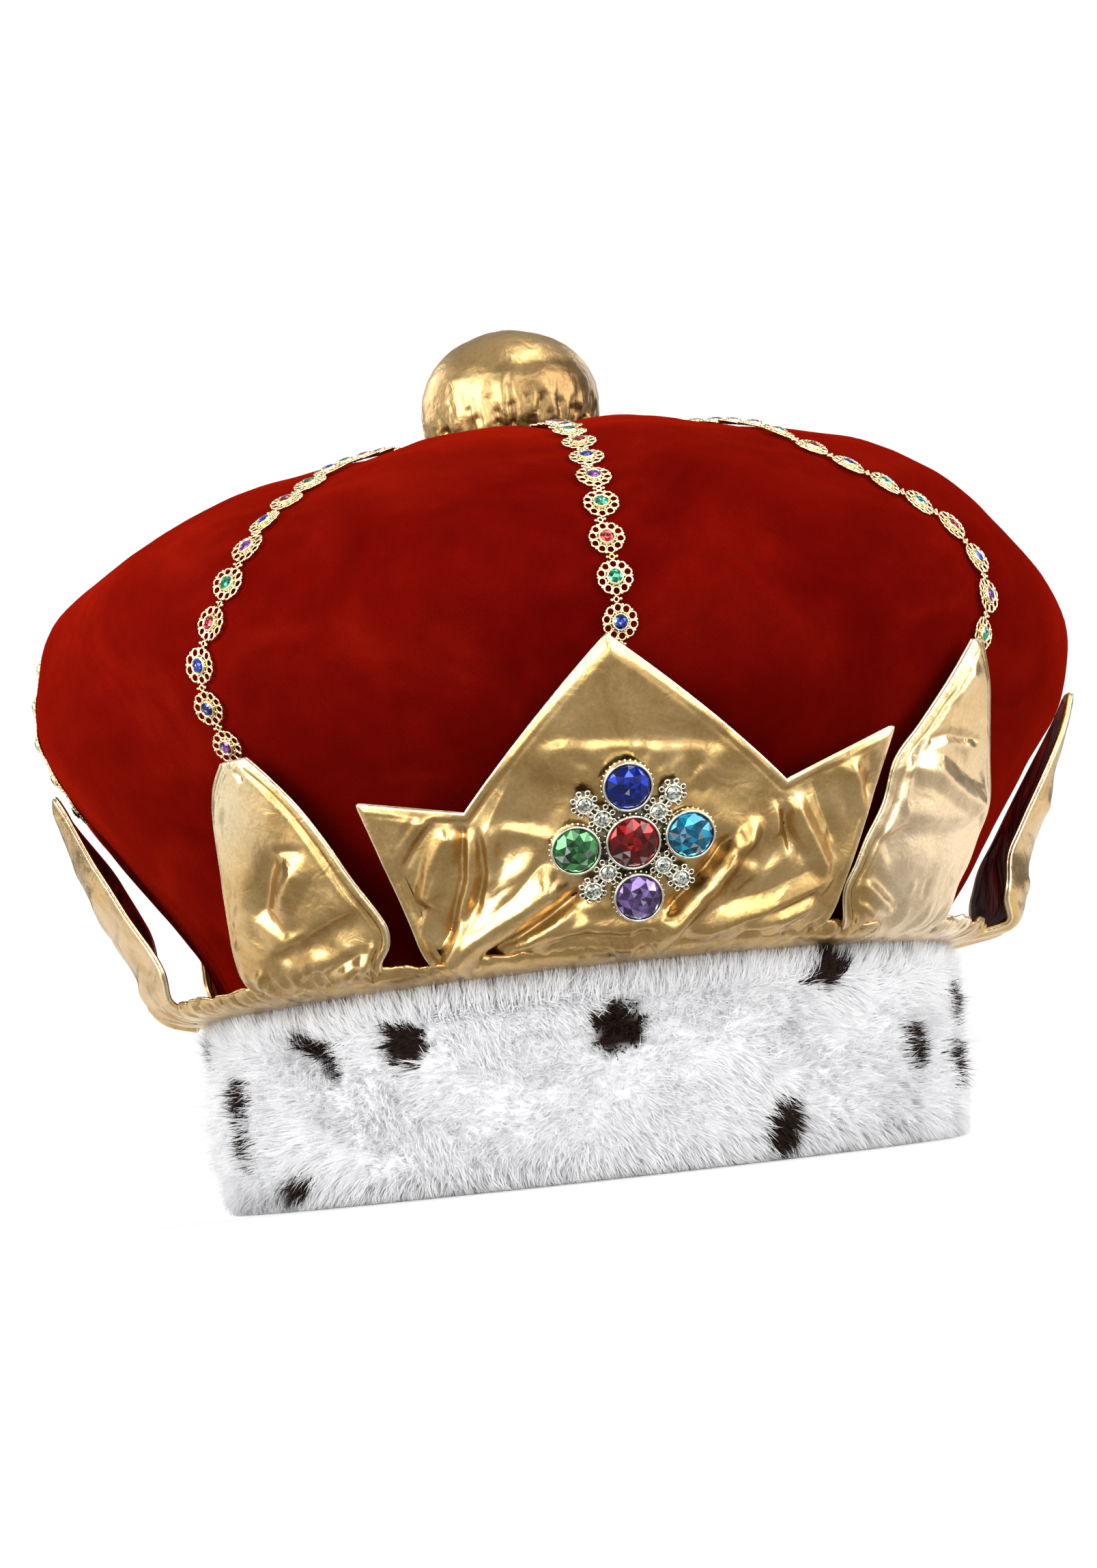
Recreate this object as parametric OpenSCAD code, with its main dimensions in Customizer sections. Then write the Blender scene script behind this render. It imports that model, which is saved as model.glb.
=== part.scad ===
// Plush crown: padded headband, puffed cap, eight cloth points, jewelled trims, ball and brooch.
// Millimetres. +Z is up, the origin is the centre of the headband's lower edge, the front is -Y.
// An azimuth of 0 degrees is the front, and 90 degrees is +X.

/* [Headband] */
// Inner radius of the headband, for a 59 cm head
band_ri = 94; // [92:0.5:95]
// Outer radius of the plush, pile included
band_ro = 105; // [103.5:0.5:106]
// Height of the headband
band_h = 53; // [46:0.5:53]
// Rounding of the band's outer edges
band_edge = 4.5; // [2:0.5:5]

/* [Cap] */
// Thickness of the cap's velvet and lining
cap_wall = 2.5; // [1.5:0.5:3]
// How deep the trims pull into the cap, as a share of the charted depth
valley_share = 1; // [0.6:0.1:1.1]
// How sharp the valleys between the lobes are
valley_power = 0.8; // [0.7:0.1:1.5]
// How far the cap and the points lean sideways, as a share of the charted lean
side_lean = 1; // [0:0.1:1.1]
// How far the two front side trims bend towards the front, as a share of the charted bend
trim_sway = 1; // [0:0.1:1.1]

/* [Points] */
// Thickness of a point's cloth and lining
point_wall = 2; // [1.5:0.1:2.1]
// How far the middle of a point swells outwards
point_swell = 2.2; // [0:0.1:3]
// Height of the low gold strip between the points, along the cloth
strip_len = 2.1; // [1:0.1:2.3]

/* [Ball] */
// Radius of the ball
ball_r = 25.6; // [20:0.2:26]
// Height of the ball from its gathered neck to its top
ball_h = 41.5; // [34:0.5:44]
// Radius of the gathered neck under the ball
neck_r = 12; // [8:1:14]

/* [Trims] */
// Width of a medallion
medal_w = 9.4; // [7:0.2:9.6]
// Distance between medallions
medal_pitch = 10.5; // [10:0.1:12]
// Width of the link between two medallions
link_w = 3.6; // [2:0.2:4]
// Height of a medallion over its stone
medal_t = 2.5; // [1.8:0.1:2.6]
// How far a trim runs on behind its point's tip
trim_tail = 12; // [4:1:14]

/* [Brooch] */
// Distance from the centre stone to the four outer stones
stone_gap = 14; // [13.6:0.1:15]
// Radius of the centre stone
centre_r = 6.1; // [5:0.1:6.2]
// Radius of an outer stone
outer_r = 5.5; // [4.5:0.1:5.6]
// Height of the brooch's centre above the floor
brooch_z = 80.8; // [78:0.2:84]
// How far the brooch is turned, in degrees
brooch_turn = 2.6; // [-4:0.2:4]

/* [Hidden] */
gap = 0.35;          // between neighbouring pieces
$fn = 72;

white = [0.95, 0.95, 0.96];
velvet = [0.58, 0.05, 0.03];
gold = [0.80, 0.66, 0.40];
metal = [0.85, 0.72, 0.42];

// Cap, from its lower edge to its centre: [radius at the lobes' crests, height, depth of the valleys]
cap_rows = [
  [ 96.5,  53.6, 0.3],
  [ 99.0,  58.0, 0.8],
  [104.5,  66.0, 1.5],
  [111.3,  75.0, 2.2],
  [120.7,  88.0, 3.0],
  [130.2, 101.0, 3.4],
  [138.7, 113.0, 3.4],
  [144.1, 126.0, 3.2],
  [146.1, 138.0, 3.0],
  [143.4, 150.0, 2.7],
  [137.8, 162.0, 2.5],
  [129.2, 172.0, 2.4],
  [118.1, 180.5, 2.2],
  [104.1, 188.6, 2.0],
  [ 86.2, 195.1, 2.3],
  [ 68.0, 200.0, 2.5],
  [ 49.8, 202.2, 2.2],
  [ 33.0, 201.8, 1.4],
  [ 16.0, 200.5, 0.5],
  [  0.0, 200.2, 0.0]];

// Sideways lean of the cap and the points at their sides: [height, distance towards +X]
lean_rows = [
  [56, 0], [70, 3.2], [85, 3.5], [100, 3.5], [115, 3.9], [130, 1.9], [145, 0.4], [165, -2.6], [190, 2.8], [205, 2.8]];

// Bend of the two front side trims towards the front: [row of the cap, degrees on the left, degrees on the right]
sway_rows = [
  [4, 0.8, 2.0], [6.2, 1.2, 2.0], [7, 0.9, 1.6], [7.9, 1.4, 0.1], [9, 3.6, -0.6], [9.8, 6.0, 1.4],
  [10.6, 6.7, 7.0], [11.3, 6.8, 10.6], [12, 7.4, 13.4], [12.6, 8.2, 14.8], [13.2, 8.2, 14.8], [14, 7.2, 13.0],
  [15, 4.8, 9.0], [16, 2.0, 4.2], [17, 0.3, 0.6], [18, 0, 0]];

// Outside of the gold cloth, which flares away from the cap: [height, radius]
gold_rows = [
  [ 53.4, 107.0], [ 54.4, 112.0], [ 56.0, 116.0], [ 58.0, 118.9], [ 61.0, 121.0], [ 65.0, 122.8],
  [ 70.0, 125.3], [ 76.0, 128.0], [ 82.0, 130.7], [ 90.0, 133.8], [ 98.0, 137.0],
  [107.0, 140.5], [117.0, 144.3], [127.0, 148.2], [131.0, 149.6]];

// Front point, a column for each corner: [azimuth at the base, azimuth at the top, height at the top, columns to the next]
front_cols = [
  [-25.3, -28.7,  96.0, 4],
  [-15.5, -17.6,  90.4, 6],
  [ -0.6,  -1.6, 127.5, 6],
  [ 14.7,  16.8,  90.8, 4],
  [ 24.6,  28.9, 102.3, 0]];

// The other points, a row for each height: [height, left edge, right edge], in degrees from the point's own azimuth
kite_left = [      // left of the front, leaning to the right
  [ 53.6,  -7.6, 12.5], [ 58.0,  -7.6, 13.7], [ 62.0,  -7.7, 15.3], [ 66.0,  -7.7, 15.8],
  [ 70.0,  -7.2, 15.2], [ 78.0,  -5.6, 13.4], [ 88.0,  -3.8, 11.5], [ 98.0,  -2.2,  9.3],
  [106.0,  -0.5,  6.9], [111.5,   1.7,  5.0]];
kite_right = [     // right of the front, folded across and leaning to the left
  [ 53.6, -14.0,  6.0], [ 58.0, -16.2,  3.8], [ 64.0, -17.3,  2.8], [ 70.0, -16.5,  3.2],
  [ 76.0, -15.7,  3.6], [ 85.0, -14.0,  4.3], [ 95.0, -13.2,  2.4], [103.0, -10.5,  0.9],
  [113.0,  -7.4, -0.8], [123.5,  -4.4, -3.0]];
kite_plain = [
  [ 53.6, -11.5, 11.5], [ 58.0, -12.3, 12.3], [ 63.0, -13.6, 13.6], [ 67.0, -13.9, 13.9],
  [ 73.0, -12.6, 12.6], [ 80.0, -10.6, 10.6], [ 90.0,  -8.0,  8.0], [100.0,  -5.3,  5.3],
  [110.0,  -2.8,  2.8], [118.5,  -0.8,  0.8]];
kite_curled = [    // left side, its rear edge wide
  [ 53.6, -12.6, 12.6], [ 58.0, -14.6, 13.5], [ 63.0, -17.4, 15.0], [ 67.0, -19.0, 15.3],
  [ 73.0, -19.4, 13.9], [ 80.0, -18.0, 11.7], [ 90.0, -14.4,  8.8], [100.0,  -9.6,  5.8],
  [110.0,  -4.6,  3.1], [118.5,  -1.0,  0.9]];

// Points: [azimuth, outline, lean of the tip in degrees, share of the charted width, height added to the tip,
// distance that the foot stands out, distance that the tip stands out, distance that the left edge curls in, below zero for out]
points_tab = [
  [  44, kite_right,  0.0, 1.00,  0.0, 0.0, 0.0, 0.0],
  [  90, kite_plain, -0.5, 1.00,  3.5, 6.5, 4.6, 6.0],
  [ 135, kite_plain,  1.5, 0.95,  3.0, 0.0, 0.0, 0.0],
  [ 180, kite_plain, -1.0, 1.05,  6.5, 0.0, 0.0, 0.0],
  [-135, kite_plain, -2.0, 1.00,  1.5, 0.0, 0.0, 0.0],
  [ -90, kite_curled, 2.0, 1.00,  0.0, 0.0, 0.0, -3.5],
  [-45.6, kite_left,  0.0, 1.00,  0.0, 0.0, 0.0, 0.0]];

// Trims: [azimuth, height of the tip that the trim meets, bare length beside the ball]
trim_tab = [[0, 127.5, 2.5], [45, 123.5, 0], [90, 122, 1.5], [135, 121.5, 3.2], [180, 125, 0.8], [-135, 120, 2], [-90, 118.5, 0.4],
            [-45, 111.5, 2.5]];

// ---- functions ----
function mix(a, b, t) = a * (1 - t) + b * t;
function spline(tab, t) =                     // smooth curve through the rows of a table
  let (n = len(tab), i = max(0, min(n - 2, floor(t))), f = t - i,
       a = tab[max(0, i - 1)], b = tab[i], c = tab[i + 1], d = tab[min(n - 1, i + 2)])
  0.5 * (2 * b + (c - a) * f + (2 * a - 5 * b + 4 * c - d) * f * f + (3 * b - a - 3 * c + d) * f * f * f);
function polar(r, az, z) = [r * sin(az), -r * cos(az), z];
function ease(a, b, x) = let (t = max(0, min(1, (x - a) / (b - a)))) t * t * (3 - 2 * t);
function lean(az, z) = side_lean * sin(az) * lookup(z, lean_rows);
function sway(az, t) = let (side = sin(az) < 0 ? 1 : 2)
  trim_sway * sin(2 * az) * max(0, cos(az)) * 1.414 * lookup(t, [for (r = sway_rows) [r[0], r[side]]]);

// A point of the cap's surface at row t and azimuth az, moved out by off along the surface's normal
function cap_rz(t, az, off) =
  let (p = spline(cap_rows, t),
       q = spline(cap_rows, min(t + 0.05, len(cap_rows) - 1)) - spline(cap_rows, max(t - 0.05, 0)),
       l = norm([q[0], q[1]]), n = [q[1], -q[0]] / l,
       v = p[2] * valley_share * (1 - pow(abs(sin(4 * az)), valley_power)))
  [p[0] + (off - v) * n[0] + lean(az, p[1]) * ease(0, 40, p[0]), p[1] + (off - v) * n[1]];
function cap_at(t, az, off) = let (p = cap_rz(t, az, off)) polar(p[0], az - sway(az, t), p[1]);

// The gold cloth's outside at height z, and the same moved in by d along its normal
function gold_r(z) = lookup(z, gold_rows);
function gold_in(z, d) =
  let (s = (gold_r(z + 1.5) - gold_r(z - 1.5)) / 3, l = norm([1, s]))
  [gold_r(z) - d / l, z + d * s / l];

// Closed cloth between an outer and an inner grid of points, both [row][column]
module cloth(outer, inner) {
  rows = len(outer);
  cols = len(outer[0]);
  n = rows * cols;
  function id(i, j, k) = k * n + i * cols + j;
  pts = concat([for (r = outer) for (p = r) p], [for (r = inner) for (p = r) p]);
  faces = concat(
    [for (i = [0:rows - 2]) for (j = [0:cols - 2]) each [
       [id(i, j, 0), id(i + 1, j, 0), id(i + 1, j + 1, 0)], [id(i, j, 0), id(i + 1, j + 1, 0), id(i, j + 1, 0)],
       [id(i, j, 1), id(i + 1, j + 1, 1), id(i + 1, j, 1)], [id(i, j, 1), id(i, j + 1, 1), id(i + 1, j + 1, 1)]]],
    [for (j = [0:cols - 2]) each [
       [id(0, j, 0), id(0, j + 1, 0), id(0, j + 1, 1)], [id(0, j, 0), id(0, j + 1, 1), id(0, j, 1)],
       [id(rows - 1, j, 0), id(rows - 1, j + 1, 1), id(rows - 1, j + 1, 0)],
       [id(rows - 1, j, 0), id(rows - 1, j, 1), id(rows - 1, j + 1, 1)]]],
    [for (i = [0:rows - 2]) each [
       [id(i, 0, 0), id(i + 1, 0, 1), id(i + 1, 0, 0)], [id(i, 0, 0), id(i, 0, 1), id(i + 1, 0, 1)],
       [id(i, cols - 1, 0), id(i + 1, cols - 1, 0), id(i + 1, cols - 1, 1)],
       [id(i, cols - 1, 0), id(i + 1, cols - 1, 1), id(i, cols - 1, 1)]]]);
  polyhedron(pts, faces, convexity = 6);
}

// ---- headband ----
function arc(c, r, a0, a1, n = 5) = [for (i = [0:n]) let (a = mix(a0, a1, i / n)) c + r * [cos(a), sin(a)]];
module fur_band() {
  e = band_edge;
  color(white) rotate_extrude()
    polygon(concat(
      arc([band_ro - e, e], e, -90, 0), arc([band_ro - e, band_h - e], e, 0, 90),
      arc([band_ri + 2, band_h - 2], 2, 90, 180, 3), arc([band_ri + 2, 2], 2, 180, 270, 3)));
}

// ---- cap ----
cap_step = 0.9;
cap_last = 18;
cap_cols = 64;
module velvet_dome() {
  ts = [for (t = [0:cap_step:cap_last + 0.01]) t];
  m = len(ts);
  n = cap_cols;
  function id(i, j, k) = (k * m + i) * n + (j % n);
  top_z = cap_rows[len(cap_rows) - 1][1];
  pts = concat(
    [for (t = ts) for (j = [0:n - 1]) cap_at(t, j * 360 / n, 0)],
    [for (t = ts) for (j = [0:n - 1]) cap_at(t, j * 360 / n, -cap_wall)],
    [[0, 0, top_z], [0, 0, top_z - cap_wall]]);
  a = 2 * m * n;
  faces = concat(
    [for (i = [0:m - 2]) for (j = [0:n - 1]) each [
       [id(i, j, 0), id(i + 1, j, 0), id(i + 1, j + 1, 0)], [id(i, j, 0), id(i + 1, j + 1, 0), id(i, j + 1, 0)],
       [id(i, j, 1), id(i + 1, j + 1, 1), id(i + 1, j, 1)], [id(i, j, 1), id(i, j + 1, 1), id(i + 1, j + 1, 1)]]],
    [for (j = [0:n - 1]) each [
       [id(0, j, 0), id(0, j + 1, 0), id(0, j + 1, 1)], [id(0, j, 0), id(0, j + 1, 1), id(0, j, 1)],
       [id(m - 1, j, 0), a, id(m - 1, j + 1, 0)], [id(m - 1, j, 1), id(m - 1, j + 1, 1), a + 1]]]);
  color(velvet) polyhedron(pts, faces, convexity = 8);
}

// ---- gold cloth ----
module gold_base_band() {
  z0 = gold_rows[0][0] + 0.2;
  lip = [for (i = [0:3]) z0 + i * strip_len / 3];
  color(gold) rotate_extrude()
    polygon(concat([[98.5, band_h + 0.3], [103.4, band_h + 0.3]],
      [for (z = lip) gold_in(z, 2.6)],
      [for (i = [3:-1:0]) gold_in(lip[i], 4.2)], [[98.5, band_h + 2]]));
}

function swell(u, v) = point_swell * (1 - u * u) * sin(180 * min(1, max(0, v)));

// Front point: columns run from the base up to the three-peaked edge
front_list = concat(
  [for (k = [0:len(front_cols) - 2]) for (i = [0:front_cols[k][3] - 1])
     mix(front_cols[k], front_cols[k + 1], i / front_cols[k][3])],
  [front_cols[len(front_cols) - 1]]);
function front_at(c, v, d) =
  let (z = mix(53.6, c[2], v), az = mix(c[0], c[1], v),
       roll = 1.2 * pow(abs(az) / 26, 2) * v, p = gold_in(z, d))
  polar(p[0] + roll + lean(az, z), az, p[1]);
module front_point() {
  vs = [0, 0.06, 0.13, 0.24, 0.38, 0.54, 0.7, 0.86, 1];
  color(gold) cloth(
    [for (v = vs) [for (c = front_list) front_at(c, v, 0)]],
    [for (v = vs) [for (c = front_list) front_at(c, v, point_wall)]]);
}

// One kite-shaped point, with a fold across it where fold is over 0
module kite(p, fold = 0) {
  az0 = p[0];
  tab = p[1];
  z0 = tab[0][0];
  z1 = tab[len(tab) - 1][0];
  cols = 8;
  function at(row, j, d) =
    let (v = (row[0] - z0) / (z1 - z0), u = 2 * j / cols - 1,
         z = row[0] + p[4] * v * v,
         az = az0 + p[2] * v + p[3] * mix(row[1], row[2], j / cols),
         zf = mix(97, 84, j / cols),
         crease = fold * max(0, 1 - abs(z - zf) / 9),
         foot = p[5] * ease(53.4, 56, row[0]) * (1 - ease(58, 78, row[0])),
         tip = p[6] * v * v * v,
         curl = p[7] * pow(max(0, -u), 2) * ease(54, 64, row[0]) * (1 - ease(70, 112, row[0])),
         q = gold_in(z, d))
    polar(q[0] + swell(u, v) - crease + foot + tip - curl + lean(az, z), az, q[1]);
  color(gold) cloth(
    [for (r = tab) [for (j = [0:cols]) at(r, j, 0)]],
    [for (r = tab) [for (j = [0:cols]) at(r, j, point_wall)]]);
}

// ---- ball ----
module top_ball() {
  z0 = cap_rows[len(cap_rows) - 1][1] + 1;
  zc = z0 + ball_h * 0.5;
  n = 12;
  up = [for (i = [0:n]) let (a = 90 * i / n) [ball_r * cos(a), zc + (z0 + ball_h - zc) * sin(a)]];
  down = [for (i = [0:n]) let (a = -90 + 90 * i / n) [neck_r + (ball_r - neck_r) * cos(a), zc + (zc - z0) * sin(a)]];
  color(gold) translate([-0.9, 0, 0]) rotate_extrude() polygon(concat([[0, z0]], down, [for (i = [1:n]) up[i]]));
}

// ---- trims ----
// A trim follows the floor of its valley, from the ball down behind its point's tip
function unit(v) = v / norm(v);
module gem_trim(p) {
  az = p[0];
  path = [for (i = 0, s = 0; i <= 250;                      // rows of [length from the ball, t]
      s = s + norm(cap_at(17.6 - (i + 1) / 20, az, 1) - cap_at(17.6 - i / 20, az, 1)), i = i + 1) [s, 17.6 - i / 20]];
  drop = [for (r = path) if (r[1] < 12) [-cap_rz(r[1], az, 0)[1], r[0]]];   // height downwards to length
  n = floor((lookup(trim_tail - p[1], drop) - p[2]) / medal_pitch);
  cell = [[0, link_w / 2, 1.2], [1.7, medal_w * 0.36, 1.5], [5.25, medal_w / 2, medal_t], [8.8, medal_w * 0.36, 1.5]];
  st = concat([for (k = [0:n - 1]) for (c = cell) [p[2] + (k + c[0] / 10.5) * medal_pitch, c[1], c[2]]],
              [[p[2] + n * medal_pitch, link_w / 2, 1.2]]);
  function ring(q) =
    let (t = lookup(q[0], path), b0 = cap_at(t, az, gap + 0.15), up = cap_at(t, az, gap + 1.15) - b0,
         side = unit(cross(cap_at(t + 0.05, az, 0) - cap_at(t - 0.05, az, 0), up)),
         r = cap_rz(t, az, 0)[0], rise = spline(cap_rows, t)[2] * 4.8 * q[1] / r,
         bl = b0 - side * q[1] + up * rise, br = b0 + side * q[1] + up * rise)
    [bl, b0, br, br + up * 1.1, b0 + up * q[2], bl + up * 1.1];
  rings = [for (q = st) ring(q)];
  m = len(rings);
  pts = [for (r = rings) for (x = r) x];
  faces = concat(
    [for (i = [0:m - 2]) for (j = [0:5]) let (a = i * 6 + j, b = i * 6 + (j + 1) % 6) each
       [[a, b, b + 6], [a, b + 6, a + 6]]],
    [[5, 4, 3, 2, 1, 0]], [[for (j = [0:5]) (m - 1) * 6 + j]]);
  color(metal) polyhedron(pts, faces, convexity = 8);
}

// ---- brooch ----
brooch_slope = atan((gold_r(brooch_z + 6) - gold_r(brooch_z - 6)) / 12);
module on_front(lift) {
  r = gold_r(brooch_z) + lift * cos(brooch_slope);
  rotate(-0.4) translate([0, -r, brooch_z - lift * sin(brooch_slope)]) rotate([90 + brooch_slope, 0, 0])
    rotate(brooch_turn) children();
}
stone_xy = [[0, 0], [0, 1], [1, 0], [0, -1], [-1, 0]] * stone_gap;
module bezel(r) {
  difference() {
    cylinder(r = r + 0.75, h = 2.6);
    translate([0, 0, 1.2]) cylinder(r = r + 0.25, h = 2);
  }
}
module brooch_base() {
  color(metal) on_front(0.5) difference() {
    union() {
      cylinder(r = 11, h = 1.2);
      for (i = [0:4]) translate([stone_xy[i][0], stone_xy[i][1], 0]) bezel(i == 0 ? centre_r : outer_r);
      for (a = [45:90:315]) rotate(a) {
        for (d = [0.79, 1.17]) translate([stone_gap * d, 0, 0]) {
          cylinder(r = 2.7, h = 1.5);
          cylinder(r = 1.7, h = 2.5);
        }
        translate([stone_gap * 0.98, 0, 0.6]) cube([3, 2.4, 1.2], center = true);
      }
    }
    for (i = [0:4]) translate([stone_xy[i][0], stone_xy[i][1], 1.2]) cylinder(r = (i == 0 ? centre_r : outer_r) + 0.25, h = 4);
  }
}
module stone(i, tint) {
  r = i == 0 ? centre_r : outer_r;
  color(tint) on_front(0.5) translate([stone_xy[i][0], stone_xy[i][1], 1.5]) {
    cylinder(r = r, h = 1.3);
    translate([0, 0, 1.3]) cylinder(r1 = r, r2 = r * 0.62, h = 1.7);
  }
}

fur_band();
velvet_dome();
gold_base_band();
front_point();
kite(points_tab[0], 1.6);  // point_2
kite(points_tab[1]);  // point_3
kite(points_tab[2], 1);  // point_4
kite(points_tab[3]);  // point_5
kite(points_tab[4], 1.2);  // point_6
kite(points_tab[5]);  // point_7
kite(points_tab[6]);  // point_8
top_ball();
gem_trim(trim_tab[0]);  // gem_trim_1
gem_trim(trim_tab[1]);  // gem_trim_2
gem_trim(trim_tab[2]);  // gem_trim_3
gem_trim(trim_tab[3]);  // gem_trim_4
gem_trim(trim_tab[4]);  // gem_trim_5
gem_trim(trim_tab[5]);  // gem_trim_6
gem_trim(trim_tab[6]);  // gem_trim_7
gem_trim(trim_tab[7]);  // gem_trim_8
brooch_base();
stone(0, [0.6, 0.05, 0.04]);  // stone_centre
stone(1, [0.05, 0.12, 0.6]);  // stone_top
stone(2, [0.1, 0.55, 0.75]);  // stone_right
stone(3, [0.42, 0.3, 0.6]);  // stone_bottom
stone(4, [0.3, 0.55, 0.3]);  // stone_left
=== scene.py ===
import math
import bpy
import numpy as np
from mathutils import Matrix, Vector

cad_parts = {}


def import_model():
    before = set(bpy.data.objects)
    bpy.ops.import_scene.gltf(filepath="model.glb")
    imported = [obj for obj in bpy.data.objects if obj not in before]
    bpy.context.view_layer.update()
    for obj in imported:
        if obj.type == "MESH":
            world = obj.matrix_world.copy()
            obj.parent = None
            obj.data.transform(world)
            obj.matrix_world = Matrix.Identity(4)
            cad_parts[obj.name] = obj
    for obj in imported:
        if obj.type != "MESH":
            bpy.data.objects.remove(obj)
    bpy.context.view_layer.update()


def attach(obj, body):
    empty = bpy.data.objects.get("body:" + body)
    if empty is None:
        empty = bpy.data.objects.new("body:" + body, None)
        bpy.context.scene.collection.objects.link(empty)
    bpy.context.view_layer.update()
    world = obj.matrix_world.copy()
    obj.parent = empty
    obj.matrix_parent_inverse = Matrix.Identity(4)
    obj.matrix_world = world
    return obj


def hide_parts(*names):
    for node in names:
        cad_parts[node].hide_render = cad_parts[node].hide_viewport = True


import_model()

MM = 0.001

# =====================================================================================
# Camera: the photograph's view, 0.85 m away, a little below the crown's middle, rolled
# =====================================================================================
def make_camera():
    dist, az, height = 0.850, math.radians(-7.8), 0.012
    pan, pitch, roll = math.radians(-0.13), math.radians(6.67), math.radians(6.3)
    fwd = Vector((-math.sin(az), math.cos(az), 0))
    right = Vector((math.cos(az), math.sin(az), 0))
    fwd, right = fwd * math.cos(pan) + right * math.sin(pan), right * math.cos(pan) - fwd * math.sin(pan)
    up = Vector((0, 0, 1))
    look = fwd * math.cos(pitch) + up * math.sin(pitch)
    up = up * math.cos(pitch) - fwd * math.sin(pitch)
    r = right * math.cos(roll) - up * math.sin(roll)
    u = up * math.cos(roll) + right * math.sin(roll)
    cam = bpy.data.cameras.new("camera")
    cam.sensor_width = 36.0
    cam.lens = 4411.5 / 2296 * 36.0
    ob = bpy.data.objects.new("camera", cam)
    bpy.context.scene.collection.objects.link(ob)
    m = Matrix((r, u, -look)).transposed().to_4x4()
    m.translation = Vector((dist * math.sin(az), -dist * math.cos(az), height))
    ob.matrix_world = m
    bpy.context.scene.camera = ob
    return ob


make_camera()

# =====================================================================================
# Numbers shared with the CAD model, in millimetres and degrees
# =====================================================================================
CAP = np.array([
    [96.5, 53.6, 0.3], [99.0, 58.0, 0.8], [104.5, 66.0, 1.5], [111.3, 75.0, 2.2], [120.7, 88.0, 3.0],
    [130.2, 101.0, 3.4], [138.7, 113.0, 3.4], [144.1, 126.0, 3.2], [146.1, 138.0, 3.0], [143.4, 150.0, 2.7],
    [137.8, 162.0, 2.5], [129.2, 172.0, 2.4], [118.1, 180.5, 2.2], [104.1, 188.6, 2.0], [86.2, 195.1, 2.3],
    [68.0, 200.0, 2.5], [49.8, 202.2, 2.2], [33.0, 201.8, 1.4], [16.0, 200.5, 0.5], [0.0, 200.2, 0.0]])
LEAN = np.array([[56, 0], [70, 3.2], [85, 3.5], [100, 3.5], [115, 3.9], [130, 1.9], [145, 0.4], [165, -2.6], [190, 2.8], [205, 2.8]])
SWAY = np.array([
    [4, 0.8, 2.0], [6.2, 1.2, 2.0], [7, 0.9, 1.6], [7.9, 1.4, 0.1], [9, 3.6, -0.6], [9.8, 6.0, 1.4],
    [10.6, 6.7, 7.0], [11.3, 6.8, 10.6], [12, 7.4, 13.4], [12.6, 8.2, 14.8], [13.2, 8.2, 14.8], [14, 7.2, 13.0],
    [15, 4.8, 9.0], [16, 2.0, 4.2], [17, 0.3, 0.6], [18, 0, 0]])
GOLD = np.array([
    [53.4, 107.0], [54.4, 112.0], [56.0, 116.0], [58.0, 118.9], [61.0, 121.0], [65.0, 122.8], [70.0, 125.3], [76.0, 128.0],
    [82.0, 130.7], [90.0, 133.8], [98.0, 137.0], [107.0, 140.5], [117.0, 144.3], [127.0, 148.2], [131.0, 149.6]])
BAND_RI, BAND_RO, BAND_H = 94.0, 105.0, 53.0


def ss(a, b, x):
    t = np.clip((np.asarray(x, float) - a) / (b - a), 0, 1)
    return t * t * (3 - 2 * t)


def smooth_table(tab, lo, hi, step=0.1, width=9):
    x = np.arange(lo, hi, step)
    y = np.interp(x, tab[:, 0], tab[:, 1])
    k = np.hanning(width + 2)[1:-1]
    return x, np.convolve(np.pad(y, width // 2, "edge"), k / k.sum(), "valid")


_lx, _ly = smooth_table(LEAN, 50, 210, 0.5, 21)
_sx, _sl = smooth_table(SWAY[:, :2], 3, 19, 0.05, 15)
_sr = smooth_table(SWAY[:, [0, 2]], 3, 19, 0.05, 15)[1]


def lean(az, z):
    return np.sin(np.radians(az)) * np.interp(z, _lx, _ly)


def sway(az, t):
    a = np.radians(az)
    bend = np.where(np.sin(a) < 0, np.interp(t, _sx, _sl), np.interp(t, _sx, _sr))
    return np.sin(2 * a) * np.maximum(0, np.cos(a)) * 1.414 * bend


def spline(tab, t):
    n = len(tab)
    t = np.asarray(t, float)
    i = np.clip(np.floor(t).astype(int), 0, n - 2)
    f = (t - i)[..., None]
    a, b, c, d = tab[np.maximum(0, i - 1)], tab[i], tab[i + 1], tab[np.minimum(n - 1, i + 2)]
    return 0.5 * (2 * b + (c - a) * f + (2 * a - 5 * b + 4 * c - d) * f * f + (3 * b - a - 3 * c + d) * f ** 3)


def cap_at(t, az, off=0.0):
    """The cap's surface at row t and azimuth az, moved out by off; the valleys have a rounded floor."""
    t, az = np.broadcast_arrays(np.asarray(t, float), np.asarray(az, float))
    p = spline(CAP, t)
    q = spline(CAP, np.minimum(t + .05, len(CAP) - 1)) - spline(CAP, np.maximum(t - .05, 0))
    l = np.hypot(q[..., 0], q[..., 1])
    nr, nz = q[..., 1] / l, -q[..., 0] / l
    s = np.abs(np.sin(np.radians(4 * az)))
    s = np.maximum(np.sqrt(s * s + 0.0049) - 0.07, 0) / 0.9325
    v = p[..., 2] * (1 - s ** 0.85)
    r = p[..., 0] + (off - v) * nr + lean(az, p[..., 1]) * ss(0, 40, p[..., 0])
    z = p[..., 1] + (off - v) * nz
    a = np.radians(az - sway(az, t))
    return np.stack([r * np.sin(a), -r * np.cos(a), z], -1)


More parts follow.
